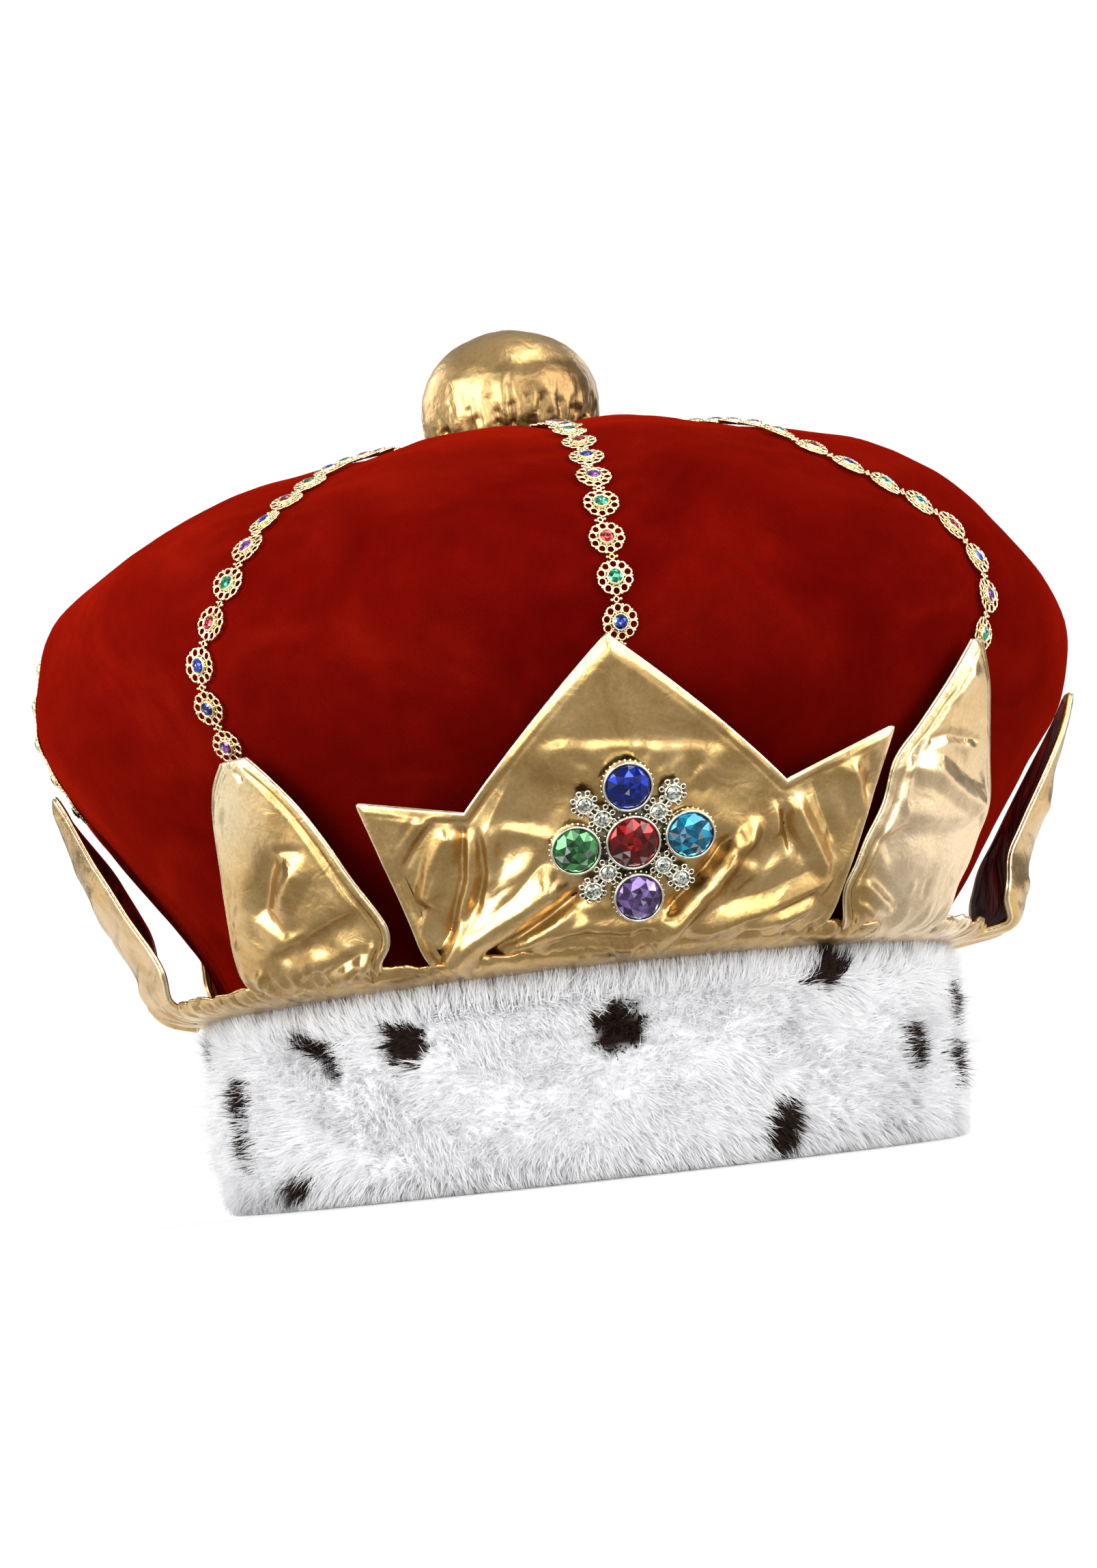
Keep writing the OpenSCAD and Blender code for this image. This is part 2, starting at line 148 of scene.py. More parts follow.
_gz = np.arange(50, 134, 0.25)
_gr = np.interp(_gz, GOLD[:, 0], GOLD[:, 1])
for _ in range(2):
    _gr[3:-3] = np.convolve(_gr, np.ones(7) / 7, "valid")
_gr[_gz < 54.5] = np.interp(_gz[_gz < 54.5], GOLD[:, 0], GOLD[:, 1])


def gold_r(z):
    return np.interp(z, _gz, _gr)


def polar(r, az, z):
    a = np.radians(az)
    r, a, z = np.broadcast_arrays(r, a, z)
    return np.stack([r * np.sin(a), -r * np.cos(a), z], -1)


def gold_at(z, az, off=0.0):
    """Outside of the gold cloth, moved out along the cloth's normal by off."""
    z = np.asarray(z, float)
    s = (gold_r(z + 1.5) - gold_r(z - 1.5)) / 3
    l = np.hypot(1, s)
    return polar(gold_r(z) + off / l + lean(az, z), az, z - off * s / l)


# =====================================================================================
# Noise and small helpers
# =====================================================================================
_G = np.array([[1, 1, 0], [-1, 1, 0], [1, -1, 0], [-1, -1, 0], [1, 0, 1], [-1, 0, 1], [1, 0, -1], [-1, 0, -1],
               [0, 1, 1], [0, -1, 1], [0, 1, -1], [0, -1, -1], [1, 1, 0], [-1, 1, 0], [0, -1, 1], [0, -1, -1]], float)


def perlin(p, seed=0):
    p = np.asarray(p, float)
    i = np.floor(p).astype(np.int64)
    f = p - i
    u = f * f * f * (f * (f * 6 - 15) + 10)
    out = 0
    for dx in (0, 1):
        for dy in (0, 1):
            for dz in (0, 1):
                h = ((i[..., 0] + dx) * 374761393 + (i[..., 1] + dy) * 668265263
                     + (i[..., 2] + dz) * 1440670441 + seed * 982451653) & 0xFFFFFFFF
                h = ((h ^ (h >> 13)) * 1274126177) & 0xFFFFFFFF
                h = (h ^ (h >> 16)) & 15
                g = _G[h]
                d = g[..., 0] * (f[..., 0] - dx) + g[..., 1] * (f[..., 1] - dy) + g[..., 2] * (f[..., 2] - dz)
                w = (u[..., 0] if dx else 1 - u[..., 0]) * (u[..., 1] if dy else 1 - u[..., 1]) \
                    * (u[..., 2] if dz else 1 - u[..., 2])
                out = out + w * d
    return out


def fbm(p, octaves=3, seed=0, gain=0.5):
    out, a, p = 0, 1.0, np.asarray(p, float)
    for k in range(octaves):
        out = out + a * perlin(p, seed + 17 * k)
        a *= gain
        p = p * 2.03 + 5.1
    return out


def xyz(*v):
    return np.stack(np.broadcast_arrays(*v), -1)


def unit(v):
    return v / np.maximum(np.linalg.norm(v, axis=-1, keepdims=True), 1e-12)


def grid_normals(p, closed=False):
    """Normals of a grid of points [row][column]; rows go up, columns go to +azimuth, so they point outwards."""
    if closed:
        dc = np.roll(p, -1, 1) - np.roll(p, 1, 1)
    else:
        dc = np.gradient(p, axis=1)
    dr = np.gradient(p, axis=0)
    return unit(np.cross(dc, dr))


def grid_faces(rows, cols, start=0, closed=False, flip=False):
    i = np.arange(rows - 1)[:, None]
    j = np.arange(cols if closed else cols - 1)[None, :]
    j2 = (j + 1) % cols
    a, b, c, d = i * cols + j, i * cols + j2, (i + 1) * cols + j2, (i + 1) * cols + j
    q = np.stack(np.broadcast_arrays(a, b, c, d), -1).reshape(-1, 4) + start
    return q[:, ::-1] if flip else q


def new_object(name, verts, quads=None, tris=None, mats=(), mat=None, smooth=True, colour=None, normals=None):
    """A mesh object from points in millimetres. mat is one material index per face, quads first."""
    verts = np.asarray(verts, float).reshape(-1, 3)
    quads = np.zeros((0, 4), int) if quads is None else np.asarray(quads, int).reshape(-1, 4)
    tris = np.zeros((0, 3), int) if tris is None else np.asarray(tris, int).reshape(-1, 3)
    me = bpy.data.meshes.new(name)
    me.vertices.add(len(verts))
    me.vertices.foreach_set("co", (verts * MM).astype(np.float32).ravel())
    loops = np.concatenate([quads.ravel(), tris.ravel()]).astype(np.int32)
    me.loops.add(len(loops))
    me.loops.foreach_set("vertex_index", loops)
    starts = np.concatenate([np.arange(len(quads)) * 4, len(quads) * 4 + np.arange(len(tris)) * 3]).astype(np.int32)
    me.polygons.add(len(starts))
    me.polygons.foreach_set("loop_start", starts)
    if mat is not None:
        me.polygons.foreach_set("material_index", np.asarray(mat, np.int32))
    me.polygons.foreach_set("use_smooth", np.full(len(starts), bool(smooth)))
    me.update(calc_edges=True)
    if colour is not None:
        col = me.color_attributes.new("Col", "FLOAT_COLOR", "POINT")
        c4 = np.ones((len(verts), 4), np.float32)
        c4[:, :3] = colour
        col.data.foreach_set("color", c4.ravel())
    for m in mats:
        me.materials.append(m)
    if normals is not None:
        me.normals_split_custom_set_from_vertices(np.asarray(normals, np.float32).reshape(-1, 3).tolist())
    ob = bpy.data.objects.new(name, me)
    bpy.context.scene.collection.objects.link(ob)
    return ob


# =====================================================================================
# Materials
# =====================================================================================
class Nodes:
    def __init__(self, name):
        self.mat = bpy.data.materials.new(name)
        self.mat.use_nodes = True
        self.nt = self.mat.node_tree
        self.bsdf = next(n for n in self.nt.nodes if n.type == "BSDF_PRINCIPLED")
        self.coord = self.add("ShaderNodeTexCoord").outputs["Object"]

    def add(self, kind, **props):
        n = self.nt.nodes.new(kind)
        for k, v in props.items():
            setattr(n, k, v)
        return n

    def link(self, a, b):
        self.nt.links.new(a, b)

    def set(self, **kw):
        for k, v in kw.items():
            s = self.bsdf.inputs[k.replace("_", " ")]
            if isinstance(v, bpy.types.NodeSocket):
                self.link(v, s)
            else:
                s.default_value = v

    def noise(self, scale, detail=2.0, rough=0.5, vec=None, distortion=0.0, out="Fac"):
        n = self.add("ShaderNodeTexNoise")
        n.inputs["Scale"].default_value = scale
        n.inputs["Detail"].default_value = detail
        n.inputs["Roughness"].default_value = rough
        n.inputs["Distortion"].default_value = distortion
        self.link(vec or self.coord, n.inputs["Vector"])
        return n.outputs[out]

    def stretched(self, sx, sy, sz):
        n = self.add("ShaderNodeMapping")
        n.inputs["Scale"].default_value = (sx, sy, sz)
        self.link(self.coord, n.inputs["Vector"])
        return n.outputs["Vector"]

    def ramp(self, fac, *stops):
        n = self.add("ShaderNodeValToRGB")
        cr = n.color_ramp
        while len(cr.elements) < len(stops):
            cr.elements.new(0.5)
        for e, (pos, col) in zip(cr.elements, stops):
            e.position = pos
            e.color = (*col, 1) if len(col) == 3 else col
        self.link(fac, n.inputs["Fac"])
        return n.outputs["Color"]

    def remap(self, v, a, b, c, d):
        n = self.add("ShaderNodeMapRange")
        for k, x in zip(("From Min", "From Max", "To Min", "To Max"), (a, b, c, d)):
            n.inputs[k].default_value = x
        self.link(v, n.inputs["Value"])
        return n.outputs["Result"]

    def mix(self, fac, a, b, blend="MIX"):
        n = self.add("ShaderNodeMix", data_type="RGBA", blend_type=blend)
        for sock, v in ((n.inputs[0], fac), (n.inputs[6], a), (n.inputs[7], b)):
            if isinstance(v, bpy.types.NodeSocket):
                self.link(v, sock)
            else:
                sock.default_value = v if not isinstance(v, tuple) or len(v) == 4 else (*v, 1)
        return n.outputs[2]

    def math(self, op, a, b=0.0):
        n = self.add("ShaderNodeMath", operation=op)
        for sock, v in zip(n.inputs, (a, b)):
            if isinstance(v, bpy.types.NodeSocket):
                self.link(v, sock)
            else:
                sock.default_value = v
        return n.outputs[0]

    def bump(self, height, strength, distance, normal=None):
        n = self.add("ShaderNodeBump")
        n.inputs["Strength"].default_value = strength
        n.inputs["Distance"].default_value = distance
        self.link(height, n.inputs["Height"])
        if normal is not None:
            self.link(normal, n.inputs["Normal"])
        return n.outputs["Normal"]


def velvet_material():
    m = Nodes("velvet")
    big = m.noise(24, 3, 0.6, distortion=0.8)
    mid = m.noise(120, 3, 0.6)
    fine = m.noise(2600, 1, 0.5)
    col = m.ramp(big, (0.30, (0.078, 0.0010, 0.0006)), (0.52, (0.100, 0.0016, 0.0009)), (0.72, (0.135, 0.0030, 0.0012)))
    col = m.mix(0.35, col, m.ramp(mid, (0.3, (0.62, 0.62, 0.62)), (0.7, (1.15, 1.15, 1.15))), "MULTIPLY")
    col = m.mix(0.4, col, m.ramp(fine, (0.3, (0.75, 0.75, 0.75)), (0.7, (1.15, 1.15, 1.15))), "MULTIPLY")
    # painted light: the velvet's colour is made lighter toward the left side
    split = m.add("ShaderNodeSeparateXYZ")
    m.link(m.add("ShaderNodeNewGeometry").outputs["Position"], split.inputs[0])
    left_light_fac = m.remap(split.outputs["X"], -0.135, -0.02, 1.0, 0.0)
    col = m.mix(1.0, col, m.ramp(left_light_fac, (0.0, (0.93, 0.88, 0.90)), (1.0, (1.50, 1.8, 1.4))), "MULTIPLY")
    n = m.bump(fine, 0.35, 0.0004)
    n = m.bump(mid, 0.12, 0.0010, n)
    m.set(Base_Color=col, Roughness=1.0, Specular_IOR_Level=0.0, Normal=n, Sheen_Weight=0.20, Sheen_Roughness=0.42)
    m.bsdf.inputs["Sheen Tint"].default_value = (1.0, 0.035, 0.006, 1)
    return m.mat


def place(m):
    split = m.add("ShaderNodeSeparateXYZ")
    m.link(m.add("ShaderNodeNewGeometry").outputs["Position"], split.inputs[0])
    return split.outputs["X"], split.outputs["Y"], split.outputs["Z"]


def painted_reflections(m, col):
    """Painted reflections: the gold's colour is made paler low on the point at the right of the front, and at the upper
    edge of the left one.
    """
    x, y, z = place(m)
    front = m.remap(y, -0.045, -0.060, 0.0, 1.0)
    right = m.math("MULTIPLY", m.remap(x, 0.060, 0.068, 0.0, 1.0), m.remap(z, 0.104, 0.078, 0.25, 0.92))
    left = m.math("MULTIPLY", m.remap(x, -0.085, -0.096, 0.0, 1.0), m.remap(z, 0.084, 0.098, 0.0, 0.65))
    col = m.mix(m.math("MULTIPLY", left, front), col, (0.90, 0.80, 0.56))
    return m.mix(m.math("MULTIPLY", right, front), col, (0.95, 0.75, 0.50))


def painted_shade_right(m, col):
    """Painted shade: the stuffed ball's colour is made darker below its middle, toward the right."""
    x, y, z = place(m)
    f = m.math("MULTIPLY", m.remap(x, -0.014, 0.018, 0.0, 1.0), m.remap(z, 0.2305, 0.2265, 0.0, 1.0))
    return m.mix(1.0, col, m.ramp(f, (0.0, (1.0, 1.0, 1.0)), (0.45, (0.44, 0.42, 0.41)), (1.0, (0.36, 0.32, 0.31))), "MULTIPLY")


def lame_material(name, dark, mid, light, rough=0.2, crinkle=1.0, zone=None):
    """Metal-coated satin: soft colour drift, a slight crinkle and a very fine grain."""
    m = Nodes(name)
    drift = m.noise(42, 4, 0.7, distortion=1.2)
    cr = m.noise(170, 2, 0.55, distortion=1.0)
    grain = m.noise(1300, 3, 0.7)
    col = m.ramp(drift, (0.32, dark), (0.5, mid), (0.68, light))
    # zone paints light or shade into the colour by position
    if zone is not None:
        col = zone(m, col)
    col = m.mix(0.55, col, m.ramp(grain, (0.3, (0.76, 0.74, 0.70)), (0.7, (1.12, 1.12, 1.12))), "MULTIPLY")
    n = m.bump(cr, 0.16 * crinkle, 0.0016)
    n = m.bump(grain, 0.12, 0.0003, n)
    m.set(Base_Color=col, Metallic=1.0, Roughness=m.remap(cr, 0.3, 0.7, rough - 0.03, rough + 0.05), Normal=n)
    return m.mat


def lining_material():
    m = Nodes("lining")
    a = m.noise(36, 3, 0.6, vec=m.stretched(1.6, 1.6, 0.7), distortion=0.8)
    b = m.noise(900, 2, 0.6)
    # the lightest streaks of this colour are painted glossy highlights on the dark red lining
    col = m.ramp(a, (0.38, (0.050, 0.0022, 0.0016)), (0.52, (0.10, 0.0050, 0.0030)), (0.64, (0.46, 0.040, 0.022)))
    n = m.bump(a, 0.5, 0.004)
    n = m.bump(b, 0.12, 0.0003, n)
    m.set(Base_Color=col, Roughness=0.34, Specular_IOR_Level=0.30, Normal=n)
    return m.mat


def fur_material():
    """Each hair takes light on both faces, half of it passing through."""
    m = Nodes("plush_pile")
    att = m.add("ShaderNodeVertexColor", layer_name="Col").outputs["Color"]
    tone = m.noise(150, 2, 0.6)
    col = m.mix(0.18, att, m.ramp(tone, (0.3, (0.80, 0.80, 0.83)), (0.7, (1.0, 1.0, 1.0))), "MULTIPLY")
    m.set(Base_Color=col, Roughness=0.7, Specular_IOR_Level=0.12)
    through = m.add("ShaderNodeBsdfTranslucent")
    m.link(col, through.inputs["Color"])
    mix = m.add("ShaderNodeMixShader")
    mix.inputs[0].default_value = 0.5
    m.link(m.bsdf.outputs[0], mix.inputs[1])
    m.link(through.outputs[0], mix.inputs[2])
    out = next(x for x in m.nt.nodes if x.type == "OUTPUT_MATERIAL")
    m.link(mix.outputs[0], out.inputs["Surface"])
    return m.mat


def backing_material():
    m = Nodes("plush_backing")
    att = m.add("ShaderNodeVertexColor", layer_name="Col").outputs["Color"]
    knit = m.noise(700, 2, 0.6)
    n = m.bump(knit, 0.4, 0.0006)
    col = m.mix(0.5, att, m.ramp(knit, (0.3, (0.75, 0.75, 0.77)), (0.7, (1.0, 1.0, 1.0))), "MULTIPLY")
    m.set(Base_Color=col, Roughness=0.9, Specular_IOR_Level=0.1, Normal=n)
    return m.mat


def band_lining_material():
    m = Nodes("band_lining")
    weave = m.noise(1400, 1, 0.5)
    soft = m.noise(60, 2, 0.5)
    col = m.ramp(soft, (0.3, (0.60, 0.57, 0.50)), (0.7, (0.68, 0.65, 0.58)))
    m.set(Base_Color=col, Roughness=0.8, Specular_IOR_Level=0.2, Normal=m.bump(weave, 0.35, 0.0004))
    return m.mat


def metal_material(name, dark, light, rough):
    m = Nodes(name)
    a = m.noise(240, 3, 0.6)
    b = m.noise(1600, 2, 0.5)
    col = m.ramp(a, (0.3, dark), (0.7, light))
    m.set(Base_Color=col, Metallic=1.0, Roughness=m.remap(b, 0.3, 0.7, rough - 0.05, rough + 0.08),
          Normal=m.bump(b, 0.12, 0.0002))
    return m.mat


def stone_material(name):
    """Cut stone over a foil back, its tint and its painted reflections and glints in the vertex colours."""
    m = Nodes(name)
    att = m.add("ShaderNodeVertexColor", layer_name="Col").outputs["Color"]
    cloud = m.noise(420, 2, 0.6)
    col = m.mix(0.6, att, m.ramp(cloud, (0.3, (0.45, 0.45, 0.45)), (0.7, (1.25, 1.25, 1.25))), "MULTIPLY")
    m.set(Base_Color=col, Metallic=0.75, Roughness=0.12, Specular_IOR_Level=0.6, Coat_Weight=0.5, Coat_Roughness=0.03)
    return m.mat


MAT = {
    "velvet": velvet_material(),
    "gold": lame_material("gold_cloth", (0.49, 0.300, 0.108), (0.63, 0.415, 0.168), (0.75, 0.525, 0.245), 0.29, 1.0, painted_reflections),
    # the ball's copy of the gold cloth is darker as painted shade, and its zone paints more shade below and to the
    # right
    "gold_ball_shaded": lame_material("gold_cloth_ball", (0.50, 0.320, 0.130), (0.58, 0.385, 0.162), (0.66, 0.455, 0.215), 0.36, 1.2, painted_shade_right),
    # a lighter copy of the gold cloth: painted highlight for the rolled edges
    "gold_edge_highlight": lame_material("gold_cloth_edge_highlight", (0.78, 0.62, 0.34), (0.90, 0.77, 0.50), (0.98, 0.88, 0.64), 0.30),
    "lining": lining_material(),
    "fur": fur_material(),
    "backing": backing_material(),
    "band_lining": band_lining_material(),
    "trim": metal_material("trim_metal", (0.86, 0.68, 0.34), (0.98, 0.88, 0.58), 0.26),
    "brooch": metal_material("brooch_metal", (0.70, 0.67, 0.54), (0.94, 0.91, 0.80), 0.14),
    "bezel_dark": metal_material("brooch_recess", (0.05, 0.045, 0.035), (0.14, 0.12, 0.09), 0.32),
    "stone": stone_material("cut_stone"),
}

# =====================================================================================
# Headband: skin, lining and pile
# =====================================================================================
# Dark tail spots: [azimuth, height, half width, half height, tilt in degrees, raggedness]
SPOTS = [
    (-2.9, 37.3, 6.6, 6.8, 0, 0.25), (-33.7, 39.3, 6.3, 6.2, 20, 0.3), (-49.8, 41.4, 7.6, 3.0, -22, 0.5),
    (-46.8, 36.6, 2.4, 3.4, 20, 0.5), (-71.8, 31.5, 6.4, 5.6, -10, 0.15), (-71.0, 19.0, 3.2, 6.6, 8, 0.3),
    (-57.5, 5.0, 6.0, 3.8, 10, 0.5), (30.6, 47.4, 7.4, 5.2, 24, 0.45), (19.9, 8.2, 4.8, 7.8, -32, 0.3),
    (48.8, 25.8, 5.2, 6.8, 32, 0.12), (68.6, 36.9, 7.4, 6.2, 6, 0.12), (65.2, 19.9, 5.8, 8.0, 42, 0.12),
    (92, 12, 5.2, 5.0, 0, 0.35), (101, 41, 5.0, 5.6, 15, 0.35), (121, 24, 5.6, 5.0, -20, 0.3),
    (139, 44, 4.6, 4.4, 0, 0.4), (150, 10, 5.0, 5.8, 10, 0.35), (168, 31, 6.0, 5.4, -12, 0.3),
    (-171, 46, 5.0, 4.2, 20, 0.4), (-163, 13, 5.2, 5.6, 0, 0.35), (-146, 34, 5.4, 6.0, 18, 0.3),
    (-127, 9, 4.8, 4.8, -15, 0.35), (-119, 43, 5.4, 4.8, 0, 0.4), (-100, 22, 5.0, 6.2, 12, 0.3),
    (-88, 45, 4.4, 4.2, -8, 0.4), (6.0, 2.0, 0.1, 0.1, 0, 0)]


def spot_share(az, z):
    """1 inside a spot, 0 outside, ragged between."""
    out = np.zeros(np.broadcast(az, z).shape)
    wob = fbm(xyz(az * 0.55, z * 0.30, 0.0), 3, 41)
    fine = perlin(xyz(az * 2.2, z * 1.2, 3.0), 42)
    for a0, z0, w, h, tilt, rag in SPOTS:
        dx = ((az - a0 + 180) % 360 - 180) * math.radians(1) * 103
        dy = z - z0
        t = math.radians(tilt)
        u, v = dx * math.cos(t) + dy * math.sin(t), -dx * math.sin(t) + dy * math.cos(t)
        d = np.sqrt((u / w) ** 2 + (v / h) ** 2) + wob * rag * 1.3 + fine * 0.18
        out = np.maximum(out, 1 - ss(0.88, 1.06, d))
    return out


def band_top(az):
    """How far the pile's top edge sags below its usual height, as in the photograph's left side."""
    d = (az + 52 + 180) % 360 - 180
    return -3.6 * np.exp(-(d / 15.0) ** 2)


def band_profile(q, az):
    """The skin under the pile: q runs 0 at the inner lower edge, over the outside, to 1 at the inner upper edge."""
    pts = np.array([[96.2, 3.4], [97.6, 2.2], [99.8, 3.0], [101.0, 6.0], [101.3, 16.0], [101.3, 27.0], [101.2, 38.0],
                    [100.9, 45.6], [100.0, 48.8], [98.2, 50.3], [96.2, 50.4]])
    p = spline(pts, np.clip(q, 0, 1) * (len(pts) - 1))
    r, z = p[..., 0], p[..., 1]
    z = z + band_top(az) * ss(14, 46, z)
    a = np.radians(az)
    lump = fbm(xyz(np.sin(a) * 4.2, np.cos(a) * 4.2, z * 0.045), 3, 5)
    r = r + lump * 1.5 * ss(3, 14, z) * (1 - ss(44, 51, z)) + 0.5 * ss(0, 22, z) * (1 - ss(22, 48, z))
    return r, z


def band_point(q, az):
    r, z = band_profile(q, az)
    return polar(r, az, z)


def band_normal(q, az):
    e = 0.004
    dq = band_point(np.minimum(q + e, 1), az) - band_point(np.maximum(q - e, 0), az)
    da = band_point(q, az + 0.4) - band_point(q, az - 0.4)
    return unit(np.cross(da, dq))


def make_band():
    qs = np.linspace(0, 1, 44)[:, None]
    az = np.linspace(-180, 180, 241)[:-1][None, :]
    out = band_point(qs, az)
    inn_z = np.linspace(50.6, 3.2, 14)[:, None]
    inner = polar(94.6 + 0.25 * perlin(xyz(az * 0.12, inn_z * 0.10, 0.0), 9), az, inn_z)
    v = np.concatenate([out.reshape(-1, 3), inner.reshape(-1, 3)])
    c = 240
    q1 = grid_faces(44, c, 0, True)
    q2 = grid_faces(14, c, 44 * c, True)
    j = np.arange(c)
    j2 = (j + 1) % c
    top = np.stack([43 * c + j, 43 * c + j2, 44 * c + j2, 44 * c + j], -1)
    last = (44 + 13) * c
    bottom = np.stack([last + j, last + j2, j2, j], -1)
    quads = np.concatenate([q1, top, q2, bottom])
    mat = np.concatenate([np.zeros(len(q1)), np.zeros(len(top)), np.ones(len(q2)), np.ones(len(bottom))])
    azs = np.broadcast_to(az, (44, c)).ravel()
    sp = spot_share(azs, out.reshape(-1, 3)[:, 2])
    white, dark = np.array([0.90, 0.90, 0.91]), np.array([0.03, 0.016, 0.012])
    col = np.ones((len(v), 3)) * 0.7
    col[: 44 * c] = white * (1 - sp[:, None]) + dark * sp[:, None]
    ob = new_object("band_pad", v, quads, mats=(MAT["backing"], MAT["band_lining"]), mat=mat, colour=col)
    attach(ob, "root")
    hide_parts("fur_band")
    return ob


def nap(az, z):
    """Which way the pile lies: sideways and upward parts, turning in slow swirls."""
    a = np.radians(az)
    p = xyz(np.sin(a) * 3.1, np.cos(a) * 3.1, z * 0.036)
    ang = fbm(p, 2, 71) * 3.4
    base_u = 0.55 * np.sin(ang) + 0.12
    base_v = -0.55 + 0.75 * np.cos(ang * 1.3 + 0.6) * 0.8
    edge = ss(40, 52, z)
    low = 1 - ss(2, 14, z)
    base_v = base_v * (1 - edge) * (1 - low) + 0.75 * edge - 1.15 * low
    base_u = base_u + 0.25 * edge * np.sin(a * 5) + 0.25 * low
    return base_u, base_v


def make_pile(name, count, seed, length, width, bent, stand, q_lo=0.0, q_hi=1.0, tint=1.0, az_lo=-180.0, az_hi=180.0, rim=False):
    g = np.random.default_rng(seed)
    # even in area: the profile is nearly evenly spaced in q but for the rounded edges
    q = q_lo + (q_hi - q_lo) * g.random(count)
    az = az_lo + (az_hi - az_lo) * g.random(count)
    root = band_point(q, az)
    n = band_normal(q, az)
    z = root[:, 2]
    a = np.radians(az)
    side = np.stack([np.cos(a), np.sin(a), 0 * a], -1)
    upv = unit(np.cross(side, n))
    upv *= np.sign(np.maximum(upv[:, 2:3], -0.2) + 1e-6)
    u, v = nap(az, z)
    u, v = u * 0.8, v * 0.8
    if rim:
        u, v = u * 0.5, 0.9 + 0 * v
    # clumps: neighbouring hairs lean to the same centre
    cell = 0.17
    cx = perlin(xyz(az * 0.60, z * 0.34, 0.0), 81)
    cy = perlin(xyz(az * 0.60, z * 0.34, 7.0), 82)
    u = u + cx * 0.55 + g.normal(0, 0.18, count)
    v = v + cy * 0.45 + g.normal(0, 0.18, count)
    st = stand * (1 + 0.25 * g.normal(size=count)).clip(0.4, 1.8)
    d0 = unit(n * (st[:, None] + 0.35) + side * u[:, None] * 0.6 + upv * v[:, None] * 0.6)
    d1 = unit(n * (st[:, None] * 0.55) + side * u[:, None] + upv * v[:, None])
    lo = 1 - ss(2, 12, z)
    L = length * (0.72 + 0.5 * g.random(count)) * (1 - 0.25 * ss(0.92, 1.0, q))
    L = L * (1 + 0.25 * fbm(xyz(az * 0.22, z * 0.13, 2.0), 2, 91))
    wid = unit(np.cross(d0, n) + 1e-6)
    w = width * (0.75 + 0.5 * g.random(count))
    where = root + (d0 * 0.45 + d1 * 0.15) * L[:, None]
    sp = spot_share(np.degrees(np.arctan2(where[:, 0], -where[:, 1])), where[:, 2])
    dark = (g.random(count) * 0.9 + 0.05 < sp)
    white = np.array([0.932, 0.932, 0.942]) * tint
    shade = 0.93 + 0.10 * g.random(count)
    colour = white[None, :] * shade[:, None]
    brown = np.array([0.022, 0.0115, 0.0085])[None, :] * (0.7 + 0.9 * g.random(count))[:, None]
    colour = np.where(dark[:, None], brown, colour)
    # along each hair: the roots are 7 % darker (0.93) as painted shade deep in the pile, and the tips lighter as
    # painted light
    lit_tip_colour = np.where(dark[:, None], colour * 1.6, np.minimum(colour * 1.08, 0.95))
    nn = unit(n * 0.8 + unit(np.cross(wid, d0)) * np.sign(np.sum(unit(np.cross(wid, d0)) * n, -1, keepdims=True)) * 0.35
              + g.normal(0, 0.10, (count, 3)))
    if bent:
        p1 = root + d0 * (L * 0.5)[:, None]
        p2 = p1 + d1 * (L * 0.5)[:, None]
        vs = np.stack([root - wid * w[:, None] * 0.5, root + wid * w[:, None] * 0.5,
                       p1 - wid * w[:, None] * 0.36, p1 + wid * w[:, None] * 0.36, p2], 1)
        k = np.arange(count)[:, None] * 5
        quads = k + np.array([[0, 1, 3, 2]])
        tris = k + np.array([[2, 3, 4]])
        cols = np.stack([colour * 0.93, colour * 0.93, colour, colour, lit_tip_colour], 1)
        nrm = np.repeat(nn[:, None], 5, 1)
    else:
        p2 = root + unit(d0 + d1) * L[:, None]
        vs = np.stack([root - wid * w[:, None] * 0.5, root + wid * w[:, None] * 0.5, p2], 1)
        quads = None
        tris = np.arange(count)[:, None] * 3 + np.array([[0, 1, 2]])
        cols = np.stack([colour * 0.93, colour * 0.93, lit_tip_colour], 1)
        nrm = np.repeat(nn[:, None], 3, 1)
    vs = vs.reshape(-1, 3)
    vs[:, 2] = np.maximum(vs[:, 2], 0.25 + 0.02 * np.arange(len(vs)) % 0.2)
    ob = new_object(name, vs, quads, tris, mats=(MAT["fur"],), colour=cols.reshape(-1, 3), normals=nrm.reshape(-1, 3))
    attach(ob, "root")
    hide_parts("fur_band")
    return ob


# =====================================================================================
# Velvet cap
# =====================================================================================
def cap_lengths():
    t = np.linspace(0, 19, 381)
    p = cap_at(t, 0 * t)
    s = np.concatenate([[0], np.cumsum(np.linalg.norm(np.diff(p, axis=0), axis=1))])
    return t, s, p


CAP_T, CAP_S, CAP_P = cap_lengths()
TRIM_AZ = [0, 45, 90, 135, 180, -135, -90, -45]


